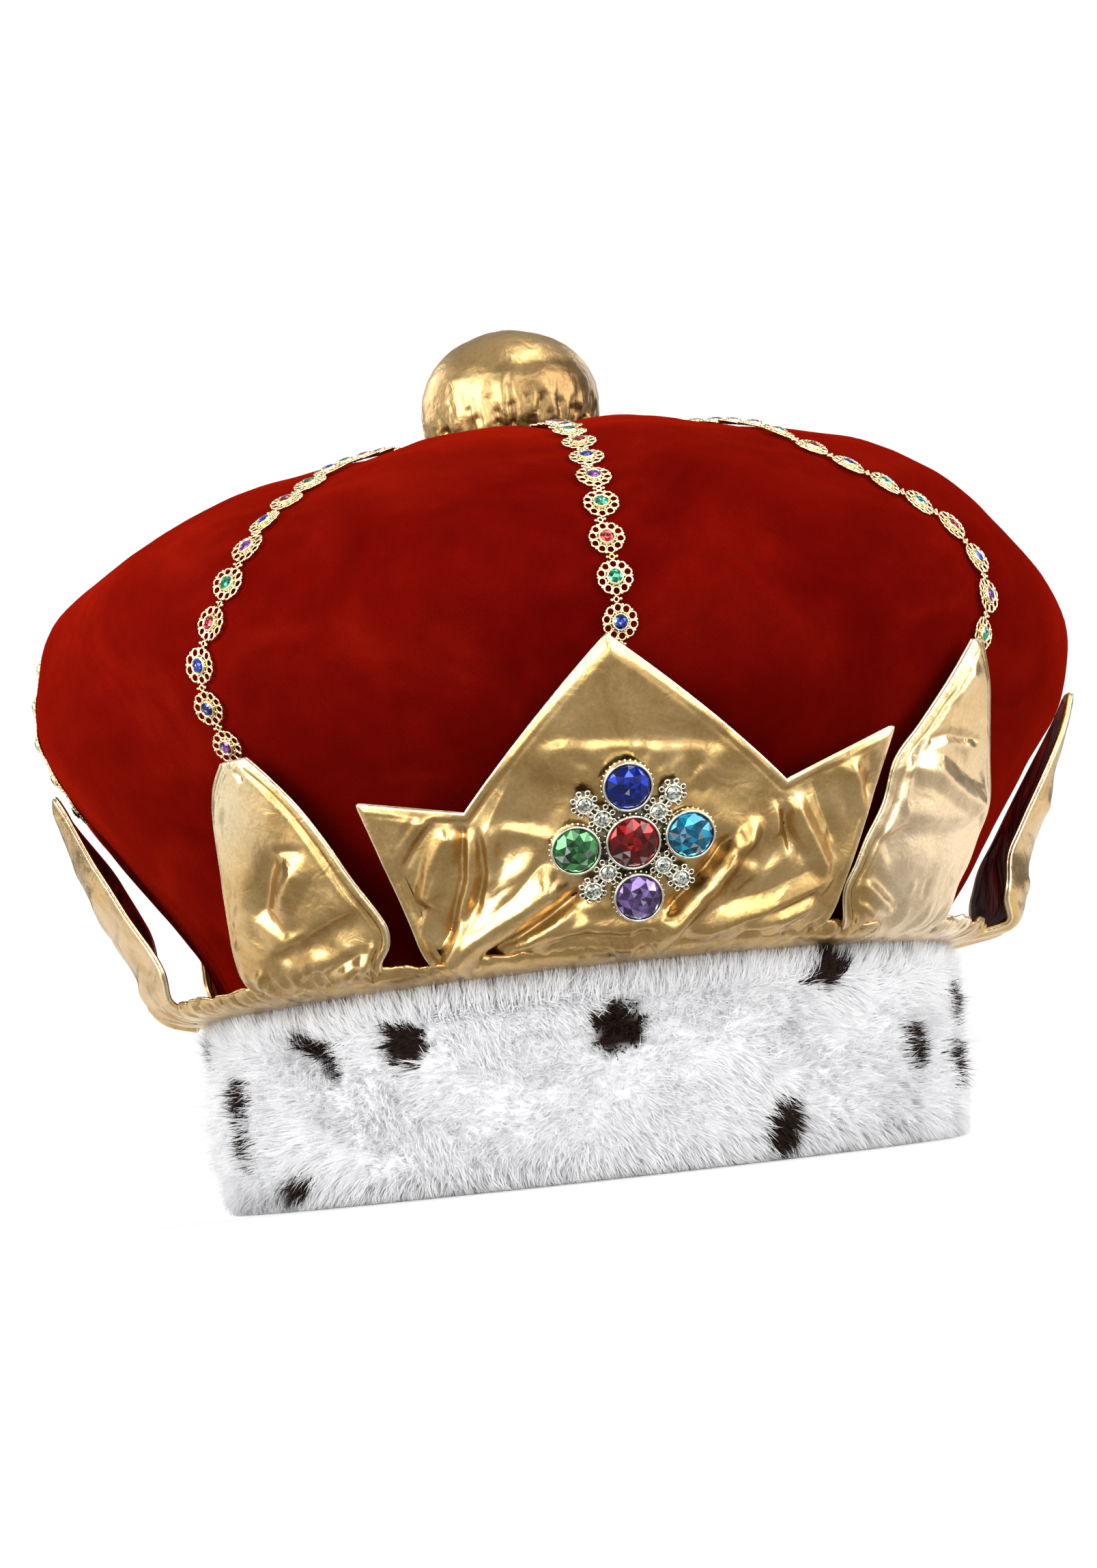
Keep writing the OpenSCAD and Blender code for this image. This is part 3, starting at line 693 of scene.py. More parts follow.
def cap_relief(t, az):
    """Height of the velvet's own folds over the plain cap, in millimetres."""
    p = cap_at(t, az)
    z = p[..., 2]
    r = np.hypot(p[..., 0], p[..., 1])
    s = np.interp(t, CAP_T, CAP_S)
    h = 1.0 * fbm(p / 46.0, 3, 11)
    h = h + 0.28 * fbm(p / 15.0, 2, 12)
    # distance from the nearest valley
    dv = ((az + 22.5) % 45 - 22.5) * math.radians(1) * r
    which = np.round(az / 45.0)
    ph = perlin(xyz(s / 9.0, which * 3.7, np.sign(dv) * 2.1), 13)
    puck = np.sin(s / 7.6 * 2 * np.pi / 1.25 + ph * 3.0) * np.exp(-np.abs(dv) / 9.0) * ss(0.5, 3.0, np.abs(dv))
    h = h + 0.42 * puck * ss(4, 6.5, t) * (1 - ss(17, 18, t))
    h = h * (0.25 + 0.75 * ss(2, 12, np.abs(dv))) + 0.0
    # gathers where the cap is sewn to the band
    w = (1 - ss(54, 92, z)) ** 1.4
    a = np.radians(az)
    g1 = perlin(xyz(np.sin(a) * 15.0, np.cos(a) * 15.0, z * 0.02), 14)
    g2 = perlin(xyz(np.sin(a) * 31.0, np.cos(a) * 31.0, z * 0.03), 15)
    h = h + (2.6 * g1 + 1.3 * g2) * w
    return h * (1 - ss(17.5, 18.8, t))


def make_cap():
    rows, cols = 116, 340
    tt = np.interp(np.linspace(0, CAP_S[-1], rows + 1)[:-1], CAP_S, CAP_T)[:, None]
    az = np.linspace(-180, 180, cols + 1)[:-1][None, :]
    p = cap_at(tt, az)
    n = grid_normals(p, True)
    h = cap_relief(np.broadcast_to(tt, (rows, cols)), np.broadcast_to(az, (rows, cols)))
    p = p + n * h[..., None]
    v = np.concatenate([p.reshape(-1, 3), [[0, 0, 200.0]]])
    quads = grid_faces(rows, cols, 0, True)
    j = np.arange(cols)
    last = (rows - 1) * cols
    tris = np.stack([last + j, last + (j + 1) % cols, np.full(cols, rows * cols)], -1)
    ob = new_object("velvet_cap", v, quads, tris, mats=(MAT["velvet"],))
    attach(ob, "root")
    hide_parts("velvet_dome")
    # lining inside, seen through the headband
    rows, cols = 42, 136
    tt = np.interp(np.linspace(0, CAP_S[-1] - 1, rows), CAP_S, CAP_T)[:, None]
    az = np.linspace(-180, 180, cols + 1)[:-1][None, :]
    p = cap_at(tt, az, -2.2)
    p = p + grid_normals(p, True) * np.minimum(0.8 * fbm(p / 30.0, 2, 21), 0.9)[..., None]
    rr = np.hypot(p[..., 0], p[..., 1])
    v = np.concatenate([p.reshape(-1, 3), [[0, 0, 197.6]]])
    quads = grid_faces(rows, cols, 0, True, flip=True)
    j = np.arange(cols)
    last = (rows - 1) * cols
    tris = np.stack([last + (j + 1) % cols, last + j, np.full(cols, rows * cols)], -1)
    lin = new_object("cap_lining", v, quads, tris, mats=(MAT["lining"],))
    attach(lin, "root")
    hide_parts("velvet_dome")
    return ob


# =====================================================================================
# Gold cloth
# =====================================================================================
def local_xy(az, z):
    """Flat coordinates on the gold cloth, in millimetres."""
    return az * math.radians(1) * 129.0, (z - 53.6) * 1.07


def along(az, z, pts):
    """Distance to a line of (azimuth, height) points, which side of it, and the share of its length."""
    x, y = local_xy(az, z)
    q = np.array([local_xy(a, b) for a, b in pts])
    seg = np.linalg.norm(np.diff(q, axis=0), axis=1)
    cum = np.concatenate([[0], np.cumsum(seg)])
    best, side, pos = np.full(np.shape(x), 1e9), np.zeros(np.shape(x)), np.zeros(np.shape(x))
    for k in range(len(seg)):
        ax, ay = q[k]
        dx, dy = (q[k + 1] - q[k]) / seg[k]
        t = np.clip((x - ax) * dx + (y - ay) * dy, 0, seg[k])
        ex, ey = x - ax - t * dx, y - ay - t * dy
        d = np.hypot(ex, ey)
        m = d < best
        best = np.where(m, d, best)
        side = np.where(m, np.sign(dx * ey - dy * ex), side)
        pos = np.where(m, cum[k] + t, pos)
    return best, side, pos, cum[-1]


def fold(az, z, pts, w, h, kind="ridge", end=7.0):
    """One fold along a line: a rounded ridge, a sharp one, or a step up to the line's left."""
    d, s, pos, total = along(az, z, pts)
    taper = ss(0, end, pos + 0.01) * ss(0, end, total - pos + 0.01)
    if kind == "ridge":
        f = np.exp(-(d / w) ** 2)
    elif kind == "sharp":
        f = np.exp(-np.sqrt(d * d + 0.15) / w)
    elif kind == "tent":
        # two flat faces that meet in a narrow edge
        f = np.maximum(0, 1 - np.sqrt(d * d + 0.35) / (2.3 * w))
        f = f * f * (3 - 2 * f) * 0.35 + f * 0.65
    else:
        f = np.tanh(s * d / w) * np.exp(-(d / (w * 5)) ** 2)
    return h * f * taper


def outline_distance(x, y, loop):
    """Distance from points to an open outline."""
    best = np.full(x.shape, 1e9)
    for k in range(len(loop) - 1):
        a, b = loop[k], loop[k + 1]
        L = math.hypot(*(b - a))
        if L < 1e-6:
            continue
        dx, dy = (b - a) / L
        t = np.clip((x - a[0]) * dx + (y - a[1]) * dy, 0, L)
        best = np.minimum(best, np.hypot(x - a[0] - t * dx, y - a[1] - t * dy))
    return best


def hem(d, groove=0.0):
    """Relief of a turned edge, by distance from the edge; groove is the depth of a seam close behind it."""
    return -groove * np.exp(-((d - 1.9) / 0.5) ** 2) + groove * 0.3 * np.exp(-((d - 3.0) / 0.7) ** 2) - 0.45 * np.exp(-(d / 0.7) ** 2)


def cloth_piece(name, base, relief, dist, node, thick=2.2, bead=0.55, border=3.2, lining_step=3, groove=0.15):
    """A point of gold cloth: the outer face, a rim of two rolled edges, a border turned in behind, and a lining."""
    n = grid_normals(base)
    front = base + n * (relief + hem(dist, groove))[..., None]
    rows, cols = front.shape[:2]
    # the back stays smooth
    back_relief = relief * 0.45
    back = base + n * (back_relief - thick)[..., None]

    def loop(g):
        return np.concatenate([g[0, :-1], g[:-1, -1], g[-1, :0:-1], g[:0:-1, 0]])

    idx = np.arange(rows * cols).reshape(rows, cols)
    li = loop(idx)
    lf, lb, ln = loop(front), loop(back), loop(n)
    mid = (lf + lb) / 2
    tang = np.roll(mid, -1, 0) - np.roll(mid, 1, 0)
    outward = unit(np.cross(tang, ln))
    for _ in range(2):
        outward = unit(np.roll(outward, 1, 0) + outward + np.roll(outward, -1, 0))
    rings, m = [], len(li)
    for s in (0.10, 0.22, 0.34, 0.44, 0.5, 0.56, 0.66, 0.78, 0.90, 1.0):
        b = bead * abs(math.sin(2 * math.pi * s)) ** 0.6
        rings.append(lf * (1 - s) + lb * s + outward * b)
    rings.append(lb - outward * border * 0.5 + ln * 0.05)
    rings.append(lb - outward * border + ln * 0.25)
    v = np.concatenate([front.reshape(-1, 3)] + rings)
    quads = [grid_faces(rows, cols)]
    prev = li
    j = np.arange(m)
    for k in range(len(rings)):
        cur = rows * cols + k * m + j
        quads.append(np.stack([prev, cur, np.roll(cur, -1), np.roll(prev, -1)], -1))
        prev = cur
    quads = np.concatenate(quads)
    # the rolled edge is a slot of its own, with a lighter gold: a painted highlight along the edge
    turn = np.zeros(len(quads))
    turn[(rows - 1) * (cols - 1):(rows - 1) * (cols - 1) + 7 * m] = 1
    gold = new_object(name, v, quads, mats=(MAT["gold"], MAT["gold_edge_highlight"]), mat=turn)
    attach(gold, "root")
    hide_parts(node)
    # lining
    ri = np.unique(np.concatenate([np.arange(0, rows, lining_step), [rows - 1]]))
    ci = np.unique(np.concatenate([np.arange(0, cols, lining_step), [cols - 1]]))
    lin = (back - n * 0.12)[np.ix_(ri, ci)]
    ctr_out = outward
    # pull the outer ring of the lining in, behind the border
    full = (back - n * 0.12).copy()
    inset = np.zeros_like(full)
    pull = -outward * 1.5
    k = 0
    for (r0, c0) in [(0, c) for c in range(cols - 1)] + [(r, cols - 1) for r in range(rows - 1)] + \
            [(rows - 1, c) for c in range(cols - 1, 0, -1)] + [(r, 0) for r in range(rows - 1, 0, -1)]:
        inset[r0, c0] = pull[k]
        k += 1
    lin = lin + inset[np.ix_(ri, ci)]
    lq = grid_faces(len(ri), len(ci), flip=True)
    lob = new_object(name + "_lining", lin.reshape(-1, 3), lq, mats=(MAT["lining"],))
    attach(lob, "root")
    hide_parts(node)
    return gold


def drawn(x, y, lean, across, length, seed):
    """Long folds side by side: sharp crests and hollow cloth between them. lean is from upright, in degrees."""
    a = math.radians(lean)
    u, w = x * math.cos(a) - y * math.sin(a), x * math.sin(a) + y * math.cos(a)
    bend = 0.5 * perlin(xyz(x / 40.0, y / 40.0, seed * 0.9), 40 + seed)
    return -np.abs(perlin(xyz(u / across + bend, w / length, seed * 1.9), seed))


def gathers(az, z, seed, amount=1.0, top=63.0):
    """Small upright wrinkles along the sewn base."""
    w = 1 - ss(55, top, z)
    g1 = perlin(xyz(az * 0.55, z * 0.10, seed * 1.3), 31 + seed)
    g2 = perlin(xyz(az * 1.25, z * 0.16, seed * 2.3), 32 + seed)
    return amount * (2.0 * g1 + 0.45 * g2) * w


FRONT_COLS = np.array([[-25.3, -28.7, 96.0], [-15.5, -17.6, 90.4], [-0.6, -1.6, 127.5], [14.7, 16.8, 90.8], [24.6, 28.9, 102.3]])


def make_front():
    counts = [46, 84, 84, 46]
    cols = []
    for k, c in enumerate(counts):
        f = np.arange(c) / c
        cols.append(FRONT_COLS[k] * (1 - f)[:, None] + FRONT_COLS[k + 1] * f[:, None])
    cols = np.concatenate(cols + [FRONT_COLS[-1:]])
    rows = 112
    v = np.linspace(0, 1, rows)[:, None]
    v = v ** 1.04
    z = 53.6 * (1 - v) + cols[None, :, 2] * v
    az = cols[None, :, 0] * (1 - v) + cols[None, :, 1] * v
    roll = 1.2 * (np.abs(az) / 26) ** 2 * v
    base = gold_at(z, az, -0.2)
    a = np.radians(az)
    base = base + np.stack([np.sin(a), -np.cos(a), 0 * a], -1) * roll[..., None]
    x, y = local_xy(az, z)
    edge = [np.array(local_xy(az[r, -1], z[r, -1])) for r in range(0, rows - 1, 6)] + \
           [np.array(local_xy(b, c)) for _, b, c in FRONT_COLS[::-1]] + \
           [np.array(local_xy(az[r, 0], z[r, 0])) for r in range(rows - 2, -1, -6)]
    d = outline_distance(x, y, edge)
    F = lambda pts, w, h, kind="ridge", end=7.0: fold(az, z, pts, w, h, kind, end)
    h = 1.6 * fbm(xyz(x / 30.0, y / 30.0, 0.3), 2, 51) + 0.30 * perlin(xyz(x / 14.0, y / 16.0, 2.3), 55)
    # crease under the smooth upper triangle, and the wrinkles below it
    h += F([(-9.8, 104.6), (-6.6, 104.9), (-4.0, 103.7), (-0.3, 103.4), (3.0, 101.9), (6.2, 101.7), (10.4, 99.6)], 1.0, -0.5, "step", 7)
    h += F([(-9.8, 104.4), (-6.6, 104.7), (-4.0, 103.5), (-0.3, 103.2), (3.0, 101.7), (6.2, 101.5), (10.4, 99.4)], 0.7, -0.45, "sharp", 7)
    for a0, z0, a1, z1, hh in [(-7.4, 101.2, -4.6, 96.0, 0.8), (-5.2, 101.4, -3.6, 96.8, -0.7), (-3.1, 101.0, -1.6, 95.4, 0.9),
                               (-0.6, 100.6, 0.2, 96.4, -0.6), (1.6, 100.4, 1.2, 95.0, 0.8), (3.6, 99.8, 2.6, 95.2, -0.7),
                               (5.6, 99.2, 3.8, 93.4, 0.9), (7.6, 98.2, 5.6, 92.2, -0.7), (9.0, 97.0, 7.0, 90.2, 0.8)]:
        h += F([(a0, z0), (a1, z1)], 0.9, hh * 0.6, "tent" if hh > 0 else "ridge", 2.5)
    low = (1 - ss(90, 103, z)) * (0.35 + 0.65 * ss(13, 20, np.hypot(x, y - local_xy(0.0, 80.8)[1])))
    h += 3.0 * drawn(x, y, 36, 15.0, 52.0, 201) * low + 0.6 * drawn(x, y, 30, 8.0, 30.0, 202) * low
    # puckers round the brooch
    bx, by = local_xy(0.0, 79.8)
    rho, phi = np.hypot(x - bx, y - by), np.arctan2(y - by, x - bx)
    wob = perlin(xyz(np.cos(phi) * 2, np.sin(phi) * 2, rho * 0.05), 52)
    h += 0.5 * np.sin(9 * phi + wob * 5) * ss(17, 23, rho) * (1 - ss(26, 40, rho))
    h -= 0.7 * (1 - ss(13, 26, rho))
    # long folds from the brooch down to the lower left
    h += F([(-7.8, 73.0), (-14.0, 66.4), (-18.9, 61.5), (-24.4, 54.4)], 2.7, 3.9, "tent", 6)
    h += F([(-5.0, 70.6), (-11.0, 63.4), (-16.5, 57.6), (-19.5, 54.0)], 1.6, -2.2, "ridge", 6)
    h += F([(-6.4, 66.0), (-12.5, 60.6), (-16.6, 56.4)], 1.2, 1.7, "tent", 5)
    h += F([(-12.6, 84.0), (-15.6, 76.6), (-18.2, 69.6), (-21.5, 61.0)], 2.8, -1.4, "ridge", 7)
    h += F([(-9.4, 83.0), (-13.0, 74.0), (-16.8, 67.8)], 1.6, 1.1, "tent", 7)
    h += F([(-9.6, 78.4), (-13.6, 70.6), (-19.6, 62.8)], 0.9, -0.9, "sharp", 5)
    # folds to the lower right
    h += F([(14.2, 83.4), (11.4, 76.2), (8.2, 68.2), (4.8, 61.0), (2.0, 55.6)], 1.6, 3.7, "tent", 7)
    h += F([(11.0, 81.0), (8.6, 74.4), (5.6, 67.0), (2.6, 61.0)], 1.1, -2.8, "sharp", 6)
    h += F([(24.2, 68.6), (20.6, 65.6), (16.9, 62.8), (11.4, 59.6), (5.4, 56.6)], 1.8, 2.9, "tent", 6)
    h += F([(23.4, 66.2), (17.6, 60.6), (10.8, 57.2)], 1.2, -1.4, "ridge", 6)
    h += F([(22.6, 62.6), (18.0, 58.6), (13.0, 56.2)], 1.1, 1.5, "tent", 4)
    h += F([(17.8, 80.0), (13.4, 69.0), (8.6, 61.0)], 3.2, -1.2, "ridge", 8)
    h += F([(15.6, 76.4), (13.4, 70.0), (10.4, 64.4)], 0.9, 0.8, "tent", 5)
    # bunched rolls along the base
    h += F([(-14.8, 56.6), (-12.0, 59.8), (-6.4, 61.4), (0.6, 60.4), (5.6, 62.6)], 1.5, 1.5, "tent", 6)
    h += F([(-12.0, 57.0), (-8.0, 58.6), (-1.0, 57.8), (3.8, 58.8)], 1.3, -1.1, "ridge", 6)
    h += F([(-9.4, 55.4), (-3.0, 56.4), (3.0, 56.0)], 1.2, 0.9, "tent", 5)
    h += F([(-7.2, 66.8), (-2.4, 64.4), (3.6, 65.4)], 1.5, 0.9, "tent", 6)
    # left wing: pleats fanning down from the notch
    h += F([(-18.0, 88.6), (-19.2, 76.0), (-22.2, 63.0), (-25.2, 55.4)], 1.0, -2.6, "sharp", 3)
    h += F([(-19.6, 86.0), (-22.8, 76.0), (-25.6, 66.0)], 0.9, -1.5, "sharp", 4)
    h += F([(-18.8, 88.4), (-21.7, 79.7), (-24.4, 69.4)], 1.8, 2.8, "tent", 4)
    h += F([(-17.4, 88.0), (-18.2, 76.0), (-20.6, 64.0), (-23.8, 55.4)], 1.0, 1.5, "tent", 4)
    h += F([(-16.4, 87.4), (-16.8, 76.0), (-18.8, 66.0)], 1.0, -1.2, "ridge", 5)
    h += F([(-15.2, 88.2), (-15.4, 78.6), (-16.6, 71.0)], 1.1, 1.3, "tent", 5)
    h += F([(-20.0, 92.0), (-23.4, 85.1), (-26.0, 78.9)], 0.9, -1.6, "sharp", 4)
    h += F([(-21.0, 92.4), (-24.5, 85.4), (-26.9, 79.4)], 1.1, 1.2, "tent", 4)
    # right wing: two leaf-shaped ridges
    h += F([(17.1, 88.6), (19.0, 80.8), (22.0, 71.6), (23.8, 68.4)], 1.7, 3.0, "tent", 5)
    h += F([(23.2, 96.6), (25.0, 89.4), (26.8, 81.6)], 1.6, 2.5, "tent", 5)
    h += F([(19.6, 93.0), (21.4, 84.0), (24.2, 74.0)], 1.2, -1.9, "sharp", 6)
    h += F([(15.4, 88.6), (17.2, 80.0), (20.4, 71.0)], 1.0, -1.5, "sharp", 5)
    h += F([(26.2, 98.6), (27.0, 90.0), (27.6, 83.0)], 1.5, -0.8, "ridge", 5)
    h += F([(15.9, 87.6), (15.9, 81.5), (15.8, 76.4)], 1.2, 1.6, "tent", 4)
    h += F([(16.8, 88.0), (17.4, 80.0), (18.4, 72.0)], 1.1, -1.2, "ridge", 5)
    h += gathers(az, z, 1, 0.5, 62)
    h += 0.03 * fbm(xyz(x / 3.4, y / 4.2, 4.0), 2, 53)
    h *= ss(0.0, 2.4, d) * 0.85 + 0.15
    cloth_piece("front_point_cloth", base, h, d, "front_point", thick=2.0, lining_step=4)


def kite_rows(tab, n):
    t = np.linspace(0, len(tab) - 1, 600)
    p = spline(np.array(tab, float), t)
    s = np.concatenate([[0], np.cumsum(np.abs(np.diff(p[:, 0])))])
    want = np.linspace(0, s[-1], n)
    return np.stack([np.interp(want, s, p[:, k]) for k in range(3)], 1)


KITE_LEFT = [
    [53.6, -7.6, 12.5], [58.0, -7.6, 13.7], [62.0, -7.7, 15.3], [66.0, -7.7, 15.8], [70.0, -7.2, 15.2],
    [78.0, -5.6, 13.4], [88.0, -3.8, 11.5], [98.0, -2.2, 9.3], [106.0, -0.5, 6.9], [111.5, 1.7, 5.0]]
KITE_RIGHT = [
    [53.6, -14.0, 6.0], [58.0, -16.2, 3.8], [64.0, -17.3, 2.8], [70.0, -16.5, 3.2], [76.0, -15.7, 3.6],
    [85.0, -14.0, 4.3], [95.0, -13.2, 2.4], [103.0, -10.5, 0.9], [113.0, -7.4, -0.8], [123.5, -4.4, -3.0]]
KITE_PLAIN = [
    [53.6, -11.5, 11.5], [58.0, -12.3, 12.3], [63.0, -13.6, 13.6], [67.0, -13.9, 13.9], [73.0, -12.6, 12.6],
    [80.0, -10.6, 10.6], [90.0, -8.0, 8.0], [100.0, -5.3, 5.3], [110.0, -2.8, 2.8], [118.5, -0.8, 0.8]]
KITE_CURLED = [
    [53.6, -12.6, 12.6], [58.0, -14.6, 13.5], [63.0, -17.4, 15.0], [67.0, -19.0, 15.3], [73.0, -19.4, 13.9],
    [80.0, -18.0, 11.7], [90.0, -14.4, 8.8], [100.0, -9.6, 5.8], [110.0, -4.6, 3.1], [118.5, -1.0, 0.9]]
# azimuth, outline, lean of the tip, share of the width, height added, foot out, tip out, left edge curled in (below zero: out)
POINTS = {
    2: (44.0, KITE_RIGHT, 0.0, 1.00, 0.0, 0.0, 0.0, 0.0), 3: (90.0, KITE_PLAIN, -0.5, 1.00, 3.5, 6.5, 4.6, 6.0),
    4: (135.0, KITE_PLAIN, 1.5, 0.95, 3.0, 0.0, 0.0, 0.0), 5: (180.0, KITE_PLAIN, -1.0, 1.05, 6.5, 0.0, 0.0, 0.0),
    6: (-135.0, KITE_PLAIN, -2.0, 1.00, 1.5, 0.0, 0.0, 0.0), 7: (-90.0, KITE_CURLED, 2.0, 1.00, 0.0, 0.0, 0.0, -3.5),
    8: (-45.6, KITE_LEFT, 0.0, 1.00, 0.0, 0.0, 0.0, 0.0)}


def make_kite(k):
    az0, tab, tip_lean, share, add, foot, tip, curl = POINTS[k]
    near = k in (2, 8)
    rows, cols = (120, 68) if near else (78, 40)
    tab2 = kite_rows(tab, rows)
    z0, z1 = tab[0][0], tab[-1][0]
    u = np.linspace(-1, 1, cols)[None, :]
    j = (u + 1) / 2
    zr = tab2[:, :1]
    v = (zr - z0) / (z1 - z0)
    z = zr + add * v * v + 0 * u
    az = az0 + tip_lean * v + share * (tab2[:, 1:2] * (1 - j) + tab2[:, 2:3] * j)
    swell = 2.2 * (1 - u * u) * np.sin(np.pi * np.clip(v, 0, 1))
    base = gold_at(z, az, -0.2)
    a = np.radians(az)
    out = foot * ss(53.4, 56, zr) * (1 - ss(58, 78, zr)) + tip * v ** 3 + 0 * az
    out = out - curl * np.maximum(-u, 0) ** 2 * ss(54, 64, zr) * (1 - ss(70, 112, zr))
    if k == 7:
        out = out - 6.0 * np.maximum(-u, 0) ** 2 * ss(66, 84, zr) * (1 - ss(96, 118, zr))
    base = base + np.stack([np.sin(a), -np.cos(a), 0 * a], -1) * out[..., None]
    x, y = local_xy(az, z)
    edge = [np.array([x[r, -1], y[r, -1]]) for r in range(0, rows, 4)] + [np.array([x[-1, -1], y[-1, -1]]),
            np.array([x[-1, 0], y[-1, 0]])] + [np.array([x[r, 0], y[r, 0]]) for r in range(rows - 1, -1, -4)]
    d = outline_distance(x, y, edge)
    F = lambda pts, w, h, kind="ridge", end=6.0: fold(az, z, pts, w, h, kind, end)
    h = swell + 1.1 * fbm(xyz(x / 24.0, y / 28.0, k * 1.7), 2, 60 + k) + 0.45 * perlin(xyz(x / 9.0, y / 12.0, k * 2.3), 70 + k)
    if k == 8:
        h += F([(-36.6, 87.0), (-39.3, 81.3), (-42.2, 75.0)], 1.9, 2.2, "tent", 7)
        h += F([(-39.6, 90.0), (-42.4, 83.0), (-44.6, 76.0), (-42.6, 70.4), (-38.0, 70.8)], 2.2, -1.5, "ridge", 6)
        h += F([(-39.6, 92.0), (-42.5, 84.0), (-45.2, 76.0), (-46.2, 70.0)], 3.4, -1.2, "ridge", 8)
        h += F([(-31.8, 72.8), (-38.8, 68.6), (-46.4, 64.4)], 1.3, -1.5, "step", 5)
        h += 1.5 * drawn(x, y, -52, 7.0, 24.0, 204) * (1 - ss(64, 72, z + (az + 39) * 0.5))
        h += F([(-40.4, 89.6), (-36.2, 88.0)], 1.1, -0.8, "ridge", 3)
        h += F([(-47.4, 88.0), (-49.0, 80.0), (-52.6, 70.0), (-55.0, 60.0)], 2.0, -0.7, "ridge", 7)
        h += F([(-47.0, 106.0), (-49.4, 97.0), (-51.2, 87.0)], 2.8, 1.9, "tent", 5)
        h += F([(-42.2, 110.4), (-41.2, 106.6)], 0.9, -0.7, "ridge", 2)
        h += F([(-33.0, 62.4), (-38.6, 58.6), (-44.8, 56.0)], 1.3, -1.0, "ridge", 4)
        h += F([(-32.2, 60.0), (-36.6, 56.8), (-41.0, 54.8)], 1.1, 1.5, "tent", 4)
        h += F([(-48.0, 62.0), (-50.6, 57.0)], 1.4, 1.0, "ridge", 3)
    elif k == 2:
        h += F([(30.4, 94.4), (36.0, 92.6), (40.3, 88.0), (45.4, 84.2)], 2.0, 1.7, "tent", 3)
        h += F([(29.2, 75.4), (32.8, 80.2), (37.8, 79.6), (43.4, 80.1), (47.0, 84.4)], 1.6, 1.5, "step", 3)
        h += F([(33.6, 99.4), (36.6, 101.2), (42.6, 100.2)], 1.2, -1.2, "ridge", 3)
        h += F([(36.4, 108.0), (38.6, 114.0), (40.0, 119.0)], 2.2, 1.3, "ridge", 5)
        h += F([(32.0, 92.0), (31.6, 86.0), (32.4, 81.4)], 1.1, 1.0, "ridge", 3)
        h += F([(36.0, 96.6), (41.0, 96.0)], 3.0, -0.8, "ridge", 5)
        h += F([(28.0, 66.6), (31.6, 62.0), (35.4, 57.6)], 1.1, 1.8, "tent", 3)
        h += F([(29.4, 69.0), (33.0, 64.2), (37.0, 58.6)], 1.3, -1.0, "ridge", 4)
        h += F([(28.6, 61.6), (32.4, 57.6)], 1.2, 1.2, "ridge", 3)
        h += F([(36.2, 67.4), (36.6, 62.6)], 1.0, 0.6, "ridge", 2)
        h += F([(38.6, 67.6), (39.2, 61.6)], 1.0, -0.5, "ridge", 2)
    else:
        g = np.random.default_rng(900 + k)
        side = 1 if g.random() < 0.5 else -1
        plain = h
        h = 0 * h
        c = az0 + tip_lean * 0.6
        h += F([(c - 9 * side, 84), (c, 80.5 + g.normal()), (c + 8 * side, 83)], 1.9, -1.5, "sharp", 5)
        h += F([(c - 7 * side, 93), (c + 1 * side, 88), (c + 8 * side, 80)], 2.2, 1.3, "ridge", 6)
        h += F([(c + 2 * side, 104), (c - 2 * side, 95), (c - 6 * side, 86)], 2.4, 1.0, "ridge", 7)
        h += F([(c - 10 * side, 71), (c - 4 * side, 66), (c + 3 * side, 60)], 1.8, 1.5, "ridge", 6)
        h += F([(c + 10 * side, 73), (c + 5 * side, 67), (c - 1 * side, 61)], 1.6, -1.1, "ridge", 6)
        h += F([(c + 11 * side, 66), (c + 7 * side, 60), (c + 2 * side, 56)], 1.5, 1.3, "ridge", 4)
        h = plain + h * (0.35 if k in (3, 7) else 1.0)
    h += gathers(az, z, k, 0.85, 64)
    h += 0.10 * fbm(xyz(x / 3.4, y / 4.2, k * 2.0), 2, 70 + k)
    h = h * (ss(0.0, 2.4, d) * 0.85 + 0.15)
    groove = 0.12 + (1.1 * ss(0.55, 0.9, u) if k == 8 else 1.1 * ss(0.55, 0.9, -u) if k == 2 else 0 * u)
    cloth_piece("point_%d_cloth" % k, base, h, d, "point_%d" % k, thick=2.2, lining_step=3 if near else 2, groove=groove)


def make_base_strip():
    cols = 720
    az = np.linspace(-180, 180, cols + 1)[:-1][None, :]
    prof = np.array([[101.5, 52.8], [104.6, 53.0], [108.0, 53.4], [111.4, 54.2], [113.9, 55.5], [115.1, 57.0], [115.0, 57.8],
                     [114.2, 57.9], [112.2, 56.6], [109.0, 55.3], [104.6, 54.5], [101.5, 54.0]])
    t = np.linspace(0, len(prof) - 1, 23)
    p = spline(prof, t)
    r, z = p[:, :1], p[:, 1:2]
    a = np.radians(az)
    w1 = perlin(xyz(np.sin(a) * 22, np.cos(a) * 22, t[:, None] * 0.10), 101)
    w2 = perlin(xyz(np.sin(a) * 52, np.cos(a) * 52, t[:, None] * 0.14), 102)
    w3 = perlin(xyz(np.sin(a) * 8, np.cos(a) * 8, 0.0), 103)
    k = ss(103, 108, r)
    crush = np.abs(perlin(xyz(np.sin(a) * 34 + z * 0.10, np.cos(a) * 34, z * 0.05), 104))
    out = polar(r + (1.5 * w1 + 0.4 * w2 - 1.5 * np.exp(-crush / 0.09)) * k, az, z + (1.4 * w3 + 1.0 * w1) * ss(55.0, 57.5, z))
    v = out.reshape(-1, 3)
    quads = grid_faces(23, cols, 0, True)
    ob = new_object("gold_strip", v, quads, mats=(MAT["gold"],))
    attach(ob, "root")
    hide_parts("gold_base_band")


